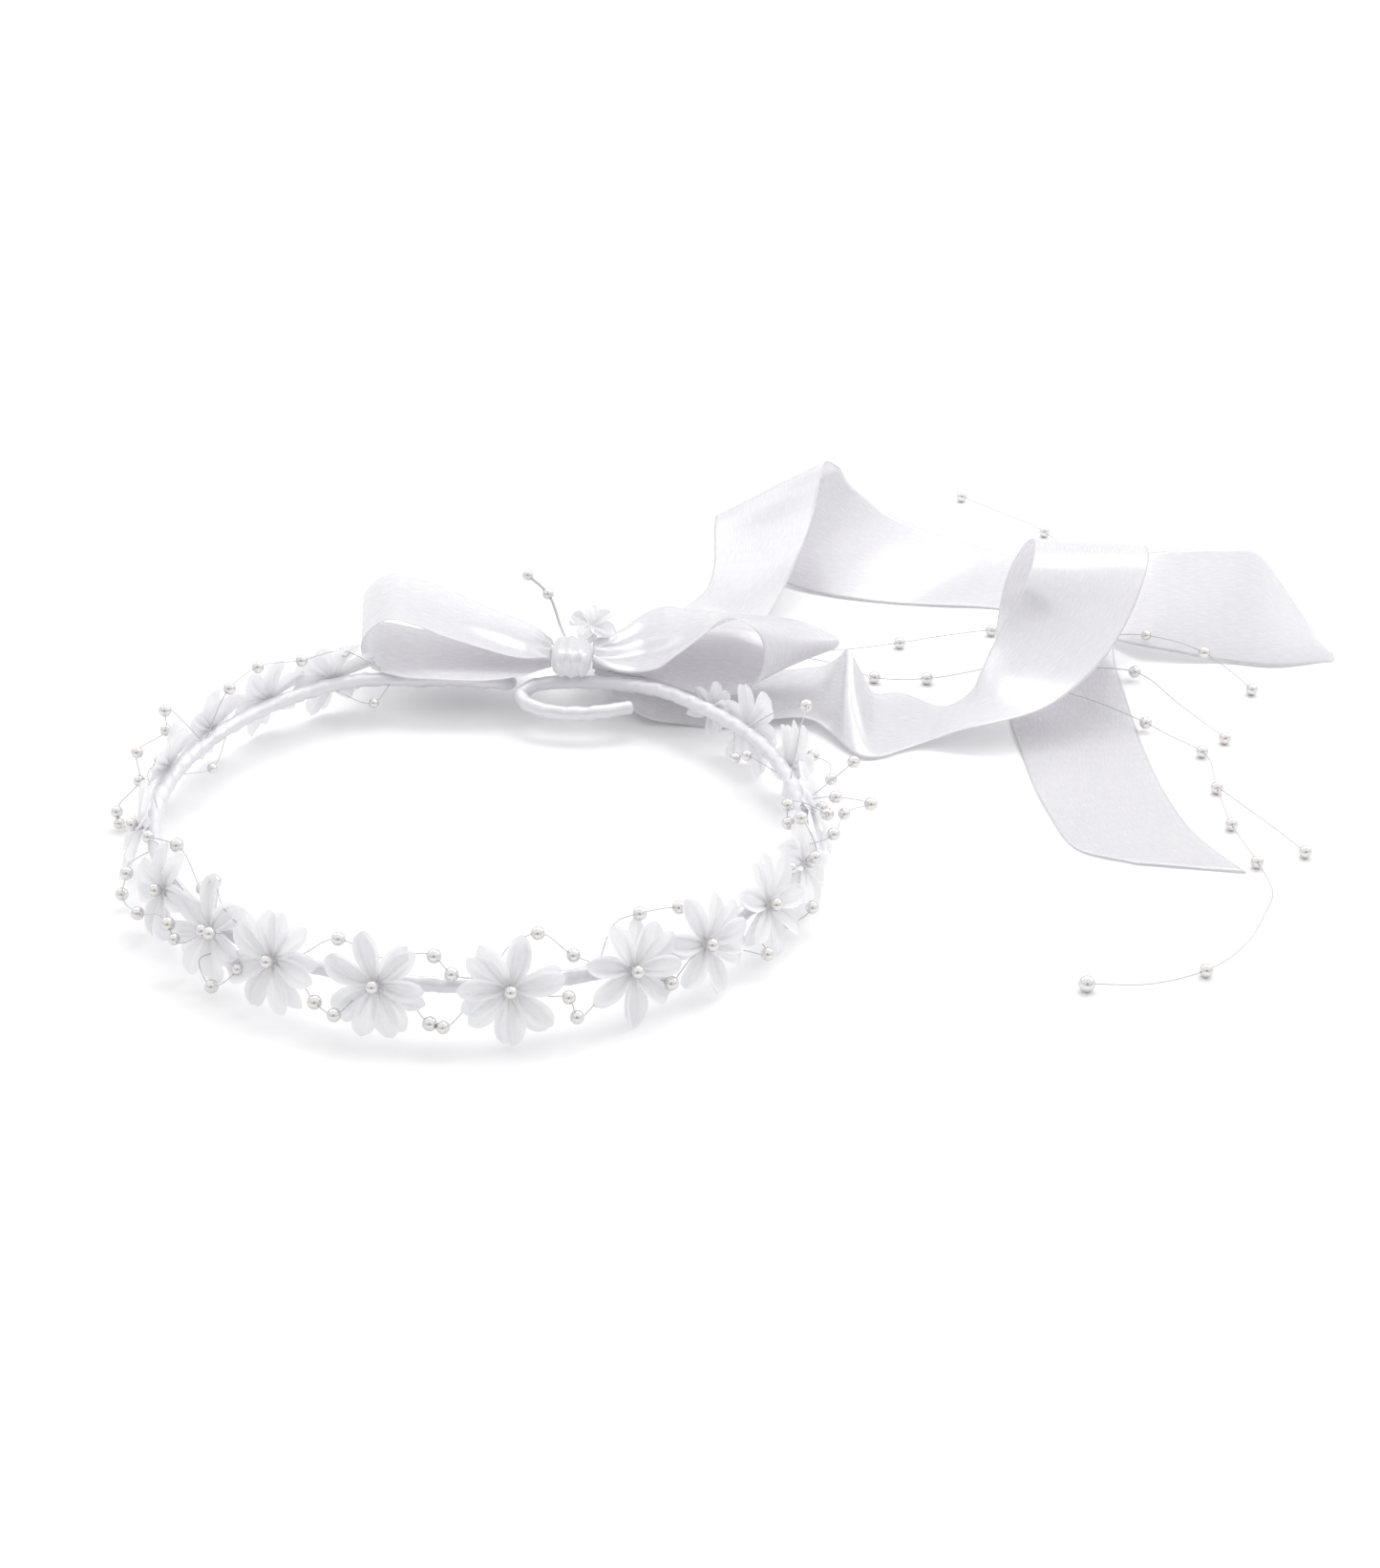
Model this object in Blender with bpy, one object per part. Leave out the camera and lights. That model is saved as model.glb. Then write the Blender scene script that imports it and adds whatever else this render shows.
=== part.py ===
"""Flower crown: a satin-wrapped wire hoop open at the back, a ribbon bow with two
long tails, fabric flowers with bead centres, and bead sprays on clear thread.
World metres, +Z up, origin at the ring centre on the table, bow at +Y."""
import math

import bmesh
import bpy
import numpy as np
from mathutils import Matrix, Vector

# ---- driving sizes (metres, degrees) ----
HOOP_RADIUS = 0.092
WRAP_DIAMETER = 0.0044
WRAP_BORE = 0.0024
WIRE_DIAMETER = 0.0016
RIBBON_WIDTH = 0.038
RIBBON_THICKNESS = 0.0006
FLOWER_RADIUS = 0.014
FLOWER_TILT = math.radians(20.0)
PETALS = 10
BEAD_DIAMETER = 0.0035
CENTRE_BEAD_DIAMETER = 0.003
THREAD_DIAMETER = 0.0008
GAP = 0.0003

# ---- sizes that follow ----
FLOOR_CLEARANCE = 0.00084
HOOP_HEIGHT = FLOWER_RADIUS * math.cos(FLOWER_TILT) + FLOOR_CLEARANCE
GROW = HOOP_RADIUS - 0.092
LIFT = HOOP_HEIGHT - 0.014
BEAD_EXTRA = max(0.0, BEAD_DIAMETER - 0.0035) / 2.0
WRAP_EXTRA = (WRAP_DIAMETER - 0.0044) / 2.0
MM = 0.001


def clear_scene():
    for item in list(bpy.data.objects):
        bpy.data.objects.remove(item, do_unlink=True)


def make_slot(name, colour, rough, metallic=0.0):
    slot = bpy.data.materials.new(name)
    slot.use_nodes = True
    shader = slot.node_tree.nodes["Principled BSDF"]
    shader.inputs["Base Color"].default_value = (colour[0], colour[1], colour[2], 1.0)
    shader.inputs["Roughness"].default_value = rough
    shader.inputs["Metallic"].default_value = metallic
    return slot


def add_body(name, verts, faces, slot):
    mesh = bpy.data.meshes.new(name)
    mesh.from_pydata([tuple(v) for v in verts], [], faces)
    work = bmesh.new()
    work.from_mesh(mesh)
    bmesh.ops.recalc_face_normals(work, faces=work.faces)
    bmesh.ops.triangulate(work, faces=work.faces)
    if work.calc_volume(signed=True) < 0.0:
        bmesh.ops.reverse_faces(work, faces=work.faces)
    work.to_mesh(mesh)
    work.free()
    mesh.materials.append(slot)
    mesh.shade_smooth()
    mesh.set_sharp_from_angle(angle=math.radians(50.0))
    body = bpy.data.objects.new(name, mesh)
    bpy.context.scene.collection.objects.link(body)
    return body


def crown_point(point):
    """A hand-set crown point in mm, moved with the back of the hoop."""
    x, y, z = point
    reach = min(1.0, max(0.0, (x - 30.0) / 80.0))
    return np.array([x * MM + GROW * reach, y * MM + GROW, z * MM + LIFT])


def tail_point(point):
    """A hand-set tail point in mm; the lift fades out toward the table."""
    x, y, z = point
    reach = min(1.0, max(0.0, (x - 30.0) / 80.0))
    rise = min(1.0, max(0.0, (60.0 - x) / 30.0)) * min(1.0, max(0.0, (z - 1.0) / 10.0))
    return np.array([x * MM + GROW * reach, y * MM + GROW, z * MM + LIFT * rise])


def hoop_point(angle_deg, outward, height):
    """A point by angle, distance beyond the hoop radius and height, both in mm."""
    angle = math.radians(angle_deg)
    radius = HOOP_RADIUS + outward * MM
    return np.array([radius * math.cos(angle), radius * math.sin(angle), height * MM + LIFT])


def spray_point(angle_deg, outward, height):
    """A spray point: it keeps clear of a thicker bead, and where it meets the hoop, of a thicker wrap."""
    reach = math.hypot(outward, height - 14.0)
    if reach < 3.5:
        grown = (reach * MM + WRAP_EXTRA) / (reach * MM)
        return hoop_point(angle_deg, outward * grown, 14.0 + (height - 14.0) * grown)
    side = 1 if outward > 9 else -1 if outward < -4 else 0
    return hoop_point(angle_deg, outward + side * BEAD_EXTRA / MM, height)


def smooth_rows(rows, per_span):
    """A smooth curve through hand-set rows, by chord length."""
    rows = np.array(rows, float)
    count = len(rows)
    chord = np.linalg.norm(np.diff(rows, axis=0), axis=1) + 1e-9
    slope = np.diff(rows, axis=0) / chord[:, None]
    tangent = np.zeros_like(rows)
    tangent[0] = slope[0]
    tangent[-1] = slope[-1]
    for i in range(1, count - 1):
        tangent[i] = (slope[i - 1] * chord[i] + slope[i] * chord[i - 1]) / (chord[i] + chord[i - 1])
    out = []
    for i in range(count - 1):
        for k in range(per_span):
            t = k / per_span
            h = chord[i]
            a = 2 * t**3 - 3 * t**2 + 1
            b = t**3 - 2 * t**2 + t
            c = 3 * t**2 - 2 * t**3
            d = t**3 - t**2
            out.append(a * rows[i] + b * h * tangent[i] + c * rows[i + 1] + d * h * tangent[i + 1])
    out.append(rows[-1])
    return np.array(out)


def resample(points, spacing):
    """Points at an even spacing along a curve."""
    length = np.concatenate([[0.0], np.cumsum(np.linalg.norm(np.diff(points, axis=0), axis=1))])
    count = max(2, int(round(length[-1] / spacing)) + 1)
    marks = np.linspace(0.0, length[-1], count)
    return np.stack([np.interp(marks, length, points[:, k]) for k in range(3)], axis=1)


def frames(path):
    """Two cross vectors at each point, carried along without twist."""
    tangent = np.gradient(path, axis=0)
    tangent /= np.linalg.norm(tangent, axis=1)[:, None]
    start = np.array([0.0, 0.0, 1.0])
    if abs(tangent[0][2]) > 0.9:
        start = np.array([1.0, 0.0, 0.0])
    side = []
    for t in tangent:
        start = start - t * np.dot(start, t)
        start = start / np.linalg.norm(start)
        side.append(start)
    side = np.array(side)
    return side, np.cross(tangent, side)


def tube_rings(path, radii, sides):
    one, two = frames(path)
    rings = []
    for i, centre in enumerate(path):
        for k in range(sides):
            turn = 2 * math.pi * k / sides
            rings.append(centre + radii[i] * (math.cos(turn) * one[i] + math.sin(turn) * two[i]))
    return rings


def ring_faces(rows, sides, start=0):
    faces = []
    for i in range(rows - 1):
        for k in range(sides):
            a = start + i * sides + k
            b = start + i * sides + (k + 1) % sides
            faces.append((a, b, b + sides, a + sides))
    return faces


def solid_tube(name, path, radii, sides, slot):
    verts = tube_rings(path, radii, sides)
    faces = ring_faces(len(path), sides)
    faces.append(tuple(range(sides)))
    last = (len(path) - 1) * sides
    faces.append(tuple(last + k for k in range(sides)))
    return add_body(name, verts, faces, slot)


def sleeve(name, path, outer, inner, sides, slot):
    """A tube with a through bore, open at both ends."""
    rows = len(path)
    verts = tube_rings(path, [outer] * rows, sides) + tube_rings(path, [inner] * rows, sides)
    bore = rows * sides
    faces = ring_faces(rows, sides) + ring_faces(rows, sides, bore)
    for row in (0, rows - 1):
        for k in range(sides):
            a = row * sides + k
            b = row * sides + (k + 1) % sides
            faces.append((a, b, b + bore, a + bore))
    return add_body(name, verts, faces, slot)


def bead_stations(path, marks, diameters, thread):
    """Points and radii of a thread that swells into a bead at each mark (a share of its length)."""
    fine = resample(path, 0.0008)
    step = np.linalg.norm(np.diff(fine, axis=0), axis=1)
    length = np.concatenate([[0.0], np.cumsum(step)])
    total = length[-1]
    places = {0.0: thread / 2, total: thread / 2}
    for s in np.linspace(0.0, total, max(2, int(total / 0.012) + 1)):
        places[float(s)] = thread / 2
    for mark, wide in zip(marks, diameters):
        radius = wide / 2
        centre = min(max(mark * total, radius), total - radius)
        for s in list(places):
            if abs(s - centre) < radius * 1.25 and 0.0 < s < total:
                del places[s]
        for share in (-0.99, -0.62, 0.0, 0.62, 0.99):
            swell = max(thread / 2, radius * math.sqrt(1 - share * share))
            places[min(total, max(0.0, centre + share * radius))] = swell
    keys = sorted(places)
    points = np.stack([np.interp(keys, length, fine[:, k]) for k in range(3)], axis=1)
    return points, [places[k] for k in keys]


def beaded_wire(name, path, marks, diameters, slot, thread=THREAD_DIAMETER):
    points, radii = bead_stations(path, marks, diameters, thread)
    return solid_tube(name, points, radii, 5, slot)


def beaded_cord(name, path, marks, diameters, slot, thread=THREAD_DIAMETER):
    """A loose strand: a round-bevelled curve whose point radius swells at each bead."""
    points, radii = bead_stations(path, marks, diameters, thread)
    line = bpy.data.curves.new(name, "CURVE")
    line.dimensions = "3D"
    line.bevel_depth = thread / 2
    line.bevel_resolution = 2
    line.use_fill_caps = True
    spline = line.splines.new("POLY")
    spline.points.add(len(points) - 1)
    for spot, point, radius in zip(spline.points, points, radii):
        spot.co = (point[0], point[1], point[2], 1.0)
        spot.radius = radius / (thread / 2)
    line.materials.append(slot)
    body = bpy.data.objects.new(name, line)
    bpy.context.scene.collection.objects.link(body)
    return body


def bead(name, centre, diameter, slot):
    """A round bead with flat poles."""
    verts = []
    for tilt in (-75, -38, 0, 38, 75):
        for k in range(7):
            turn = 2 * math.pi * k / 7
            tip = math.radians(tilt)
            ray = Vector((math.cos(tip) * math.cos(turn), math.cos(tip) * math.sin(turn), math.sin(tip)))
            verts.append(np.array(centre) + np.array(ray) * diameter / 2)
    faces = ring_faces(5, 7) + [tuple(range(7)), tuple(range(28, 35))]
    return add_body(name, verts, faces, slot)


def flower(name, centre, normal, upward, reach, slot):
    """A dished rosette of slender petals; centre is the middle of its back."""
    across = np.cross(normal, upward)
    outline = []
    for petal in range(PETALS):
        for share, size in ((0.0, 0.42), (0.27, 0.82), (0.5, 1.0), (0.73, 0.82)):
            turn = 2 * math.pi * (petal + share - 0.5) / PETALS
            outline.append((math.sin(turn) * reach * size, math.cos(turn) * reach * size, size))
    verts = [centre, centre + normal * 0.0013]
    for x, y, size in outline:
        verts.append(centre + across * x + upward * y + normal * 0.0001 * size)
    for x, y, size in outline:
        verts.append(centre + across * x + upward * y + normal * 0.0009)
    count = len(outline)
    faces = []
    for k in range(count):
        after = (k + 1) % count
        faces.append((0, 2 + after, 2 + k))
        faces.append((1, 2 + count + k, 2 + count + after))
        faces.append((2 + k, 2 + after, 2 + count + after, 2 + count + k))
    return add_body(name, verts, faces, slot)


def strip(name, stations, place, per_span, slot, cells=2):
    """A ribbon from hand-set pairs of edge points; its width follows RIBBON_WIDTH."""
    scale = RIBBON_WIDTH / 0.038
    rows = []
    for near, far in stations:
        across = (np.array(far, float) - np.array(near, float)) * MM * scale
        base = place(near)
        rows.append(np.concatenate([base, base + across]))
    rows = smooth_rows(rows, per_span)
    half = RIBBON_THICKNESS / 2
    floor = 0.0002 + half
    grid = np.zeros((len(rows), cells + 1, 3))
    for j in range(cells + 1):
        grid[:, j] = rows[:, :3] + (rows[:, 3:] - rows[:, :3]) * j / cells
    grid[:, :, 2] = np.maximum(grid[:, :, 2], floor)
    along = np.gradient(grid, axis=0)
    across = np.gradient(grid, axis=1)
    normal = np.cross(along, across)
    normal /= np.linalg.norm(normal, axis=2)[:, :, None]
    level = grid[:, :, 2] < floor + 0.00001
    normal[level] = np.array([0.0, 0.0, 1.0]) * np.sign(normal[level][:, 2:3])
    top = (grid + normal * half).reshape(-1, 3)
    bottom = (grid - normal * half).reshape(-1, 3)
    wide = cells + 1
    count = len(rows) * wide
    faces = []
    for i in range(len(rows) - 1):
        for j in range(cells):
            a = i * wide + j
            faces.append((a, a + 1, a + wide + 1, a + wide))
            faces.append((count + a, count + a + wide, count + a + wide + 1, count + a + 1))
        for j in (0, cells):
            a = i * wide + j
            faces.append((a, a + wide, count + a + wide, count + a))
    for i in (0, len(rows) - 1):
        for j in range(cells):
            a = i * wide + j
            faces.append((a, count + a, count + a + 1, a + 1))
    return add_body(name, list(top) + list(bottom), faces, slot)


def knot(name, centre, half, slot):
    """A rounded block of gathered ribbon."""
    verts = []
    tilts = (-76, -50, -25, 0, 25, 50, 76)
    for tilt in tilts:
        for k in range(14):
            turn = 2 * math.pi * k / 14
            tip = math.radians(tilt)
            ray = (math.cos(tip) * math.cos(turn), math.cos(tip) * math.sin(turn), math.sin(tip))
            bulge = sum(abs(part) ** 4 for part in ray) ** -0.25
            verts.append(centre + np.array([ray[0] * half[0], ray[1] * half[1], ray[2] * half[2]]) * bulge)
    faces = ring_faces(len(tilts), 14)
    faces.append(tuple(range(14)))
    faces.append(tuple((len(tilts) - 1) * 14 + k for k in range(14)))
    return add_body(name, verts, faces, slot)


# ---- hand-set routes and ribbon stations (mm, near edge then far edge) ----
EYE_RIGHT = [(41, 75.5, 9), (34, 72, 9.3), (26, 70.5, 9), (16, 71.5, 9), (9, 75, 9.5), (6.5, 81, 10),
             (11, 85.5, 10.8), (20, 87, 11.4), (35, 84.5, 12.4), (50, 78.5, 13.5)]
EYE_LEFT = [(-42, 82, 13), (-30, 85, 12), (-14, 87, 11.5), (-4, 86.5, 11.2), (1.5, 88.2, 10), (2.5, 92, 8.5),
            (-2, 94.8, 8), (-10, 95.4, 8), (-20, 93.8, 8), (-28, 91, 8.5)]
LOOP_LEFT = [((15.5, 86, 20.3), (15.5, 100, 19.6)), ((6, 88, 19), (7, 120, 15.5)),
             ((-5, 90, 20.5), (-6, 126, 18)), ((-17, 90, 24.5), (-18, 127, 23)),
             ((-28, 90, 29), (-30, 127, 27.5)), ((-35, 89, 30.5), (-38, 127, 29)),
             ((-41, 88, 27), (-44, 126, 26)), ((-44, 87.5, 21.5), (-47, 125, 20.5)),
             ((-41.5, 85, 16.8), (-44, 122.5, 15.5)), ((-33, 81, 15.6), (-35, 119, 14.4)),
             ((-18, 79, 15.1), (-19, 117, 13.6)), ((-4, 80, 14.9), (-4, 116.5, 13.4)),
             ((7, 83.5, 15), (8, 112, 13.2)), ((15.5, 88, 16.1), (15.5, 101, 15.5))]
LOOP_RIGHT = [((28.5, 85.5, 20), (28.5, 99.5, 20)), ((35.5, 83.5, 17.8), (37.5, 109.5, 19.8)),
              ((43, 82.3, 17.6), (45, 117.5, 22)), ((48.7, 81, 19.6), (51, 117.5, 24)),
              ((54.6, 80, 25), (60, 116.5, 23)), ((62.7, 80, 31.8), (70, 115.5, 23.5)),
              ((70.5, 80, 38.2), (83, 112, 24)), ((76, 80, 37.2), (92, 109.5, 24)),
              ((80.3, 80, 33), (100, 107.5, 22.5)), ((82, 80, 26), (106.5, 105, 19.5)),
              ((80.5, 80, 18.2), (105, 105.5, 15.8)), ((76.5, 80, 13.2), (98.5, 109, 14.6)),
              ((69, 80, 11.4), (87, 112.5, 16.8)), ((60, 80.5, 12.4), (71.5, 116, 17.8)),
              ((52.5, 82, 14), (57, 118.5, 16.6)), ((44, 86, 14.6), (46, 119, 15.2)),
              ((35.5, 88.5, 15), (36, 108.5, 15.2)), ((28.5, 89.5, 15.8), (28.5, 101, 15.6))]
TAIL_FRONT = [((30, 92, 11.5), (28, 101, 11.5)), ((37, 85, 7), (36, 109, 7)), ((46, 79.5, 3.2), (47, 116.5, 2.4)),
              ((58, 80, 1), (61, 117.5, 1.2)), ((72, 79, 1), (76, 116.5, 1.2)), ((86, 81, 3), (89, 118, 1.8)),
              ((97, 81, 3.4), (102, 116, 4.5)), ((103, 74, 2.8), (106.5, 107, 12)),
              ((108, 66, 1.6), (109.8, 99.5, 20)), ((112, 61.5, 1), (112.8, 97.5, 13)),
              ((118, 61.5, 0.7), (117.5, 98.5, 4.5)), ((126, 66.5, 1.2), (127, 103, 2)),
              ((134, 69.5, 3), (140, 95, 2)), ((144, 69, 7), (148, 95, 7)), ((157, 70, 10), (152, 99, 13)),
              ((169, 75, 12), (155, 104, 18)), ((180, 83, 16), (158, 107, 24)),
              ((190, 93, 22), (161, 108, 30)), ((197, 103, 29), (164, 110, 37)),
              ((202, 112, 37), (167, 116, 42.5)), ((205, 122, 42.5), (168.5, 126, 44.5)),
              ((205.5, 134, 42), (169, 137, 42)), ((204, 143, 35), (167, 145, 35)),
              ((202, 147, 25), (164, 149, 25)), ((200, 146, 15), (162, 148, 15)),
              ((199, 140, 6.5), (160.5, 141, 6.5)), ((199, 130, 1.5), (160, 130, 1.5)),
              ((199.5, 116, 0.5), (160, 116, 0.5)), ((201, 75, 0.5), (162, 72, 0.5)),
              ((204.5, 40, 0.5), (167, 30, 0.5)), ((210.5, 16, 0.5), (174, 8, 0.5)),
              ((221, -2.5, 0.5), (190, 1, 0.5))]
TAIL_BACK = [((28, 98, 14), (22, 103.5, 13.5)), ((38, 106, 12), (25, 118, 11)), ((49, 114, 8.5), (30, 131, 6)),
             ((58, 121, 5), (38, 145, 2)), ((71, 132, 2), (46, 154, 1)), ((82, 149, 2.5), (58, 166, 1.5)),
             ((89, 160, 9), (64, 172, 5)), ((95, 172, 18), (66.5, 183, 9.5)),
             ((100, 187, 27), (66.5, 194, 13.5)), ((102.5, 199, 35), (66.5, 201.5, 17)),
             ((104.5, 206, 39), (67.5, 206, 18)), ((109, 207.5, 36.5), (71, 205, 14.5)),
             ((112, 206, 32.5), (76, 199, 9)), ((117, 205, 28), (87, 189, 2.5)),
             ((126, 206, 20.5), (103, 180, 0.6)), ((142, 206, 13.5), (120, 175, 0.5)),
             ((157, 208, 8), (142, 172.5, 0.5)), ((170, 206, 5.5), (163, 171.5, 0.5)),
             ((186, 198, 8), (180, 165, 0.8)), ((200, 182, 16), (194, 152, 1.5)),
             ((211, 170, 23), (207, 138, 4)), ((223, 163, 28), (221, 134.5, 3)),
             ((237, 160, 30), (236, 133.5, 0.8)), ((247, 157, 30), (250, 131.5, 0.5)),
             ((255, 152, 22), (259, 133, 0.5)), ((264, 144, 11), (267, 135.5, 0.5)),
             ((272, 139.5, 2.5), (273, 137, 0.5))]

# flower angles round the hoop and the most each may reach (share of FLOWER_RADIUS)
FLOWERS = [(-134, 1), (-120, 1), (-102, 1), (-81, 1), (-61, 1), (-47, 1), (-31, 1), (-16, 1), (2, 1), (20, 1),
           (36, 1), (46.5, 0.5), (123, 1), (137, 1), (152, 1), (167, 1), (189, 1), (211, 1)]

# sprays: (angle, outward, height) with beads at shares of the length
SPRAY_UPPER = [(-141, -2.0, 16.0), (-137, -4.4, 22), (-122, -4.6, 25), (-109, -4.6, 22), (-93, -4.5, 21),
               (-82, -4.5, 28), (-76, -4.4, 29), (-71, -4.6, 21), (-58, -4.5, 26.5), (-50, -4.5, 24.5),
               (-36, -4.4, 23), (-23.5, -2.0, 16.0)]
SPRAY_LOWER = [(-127, 0, 11.1), (-126.6, 6, 6.4), (-122, 12.6, 4.2), (-108, 12.2, 4.6), (-92, 12.0, 5.2),
               (-71, 12.2, 6.6), (-56, 12.2, 6.4), (-40, 12.2, 4.6), (-24.2, 11.2, 3.6), (-23.5, 6, 6.4),
               (-23.5, 0, 11.1)]
SPRAY_LEFT = [(160, 0, 11.1), (160, 6, 6.4), (164, 12.6, 4.6), (175, 13, 4), (190, 13, 4.6), (200, 13, 7),
              (209, 12.8, 4.4), (217.5, 12.2, 5), (218.5, 6, 6.4), (218.5, 0, 11.1)]
SPRAY_LEFT_TOP = [(205, -2.0, 16.0), (202, -4.4, 24), (190, -4.4, 27), (180, -4.4, 22), (170, -4.4, 30),
                  (158, -4.4, 22), (146, -4.4, 23), (139, -4.4, 26), (128, -4.4, 23), (121, -4.4, 22),
                  (116.5, -2.0, 16.0)]
SPRAY_RIGHT = [(-9, -2.0, 16.0), (-7, -4.4, 25), (3, -4.4, 29), (12, -4.4, 23), (23, -4.5, 29),
               (30, -4.4, 22), (35, -4.2, 17), (39, -2.0, 16.0)]
SPRAY_RIGHT_LOW = [(-6.8, 0, 11.1), (-6.8, 6, 6.4), (-6, 12, 6), (2, 13, 7.5), (10, 13, 8), (20, 13, 8),
                   (27.4, 12, 6.4), (28, 6, 6.4), (28, 0, 11.1)]
TWIG = [(20, 98.8, 20.4), (18, 104, 22), (13.5, 110, 31), (7, 113, 36)]
FLORET_STEM = [(25.5, 98.9, 20), (27.5, 103, 20.2), (28.2, 105.4, 22.1)]

# trailing strands in mm: they leave the knot between the tails, or lie loose beside them
TRAIL_BACK = [(33, 96.5, 10.6), (42, 101, 9.6), (55, 110, 8.2), (70, 117.5, 7), (85, 125, 4.5), (100, 131, 2.6),
              (115, 136, 2.1), (128.6, 139.9, 2.1), (144, 147, 2.1), (160, 151, 2.1), (181, 149, 2.2),
              (195, 145, 4), (209.5, 137.5, 8), (228, 130.5, 5.6), (237, 121, 2.6), (241, 111.5, 2.1)]
TRAIL_MIDDLE = [(35, 94.5, 11.2), (43, 96.5, 9), (56, 101, 7), (70, 108, 6.6), (86, 114.5, 6), (98, 120.5, 5),
                (107, 120, 3.4), (113, 117.5, 2.4), (119, 114, 2.1), (136, 114, 2.1), (150, 119, 2.4),
                (160, 123, 3.2), (182, 122.5, 3.3), (204, 119.9, 3.2), (216, 100, 2.2), (227, 77.3, 2.1)]
TRAIL_FRONT = [(166, 112, 1.7), (180, 106, 2.9), (196, 92, 3.3), (208, 80, 2.6), (218.5, 68, 2.1),
               (219.5, 45, 2.1), (220.5, 22.8, 2.1), (226.5, 2, 2.1), (226.5, -14, 2.1), (221.5, -28, 2.1),
               (214, -43, 2.1), (201, -57.8, 2.1), (185, -64, 2.1), (167.7, -66.3, 2.4)]
TRAIL_BRANCH = [(220.6, 44, 2.1), (229, 30, 2.1), (239.6, 7.5, 2.1)]
TRAIL_FAR = [(176, 188, 2.9), (184, 206, 2.1), (191, 222, 2.1), (186, 234, 2.1), (172, 252, 2.1),
             (158.3, 264.6, 2.1)]


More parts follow.
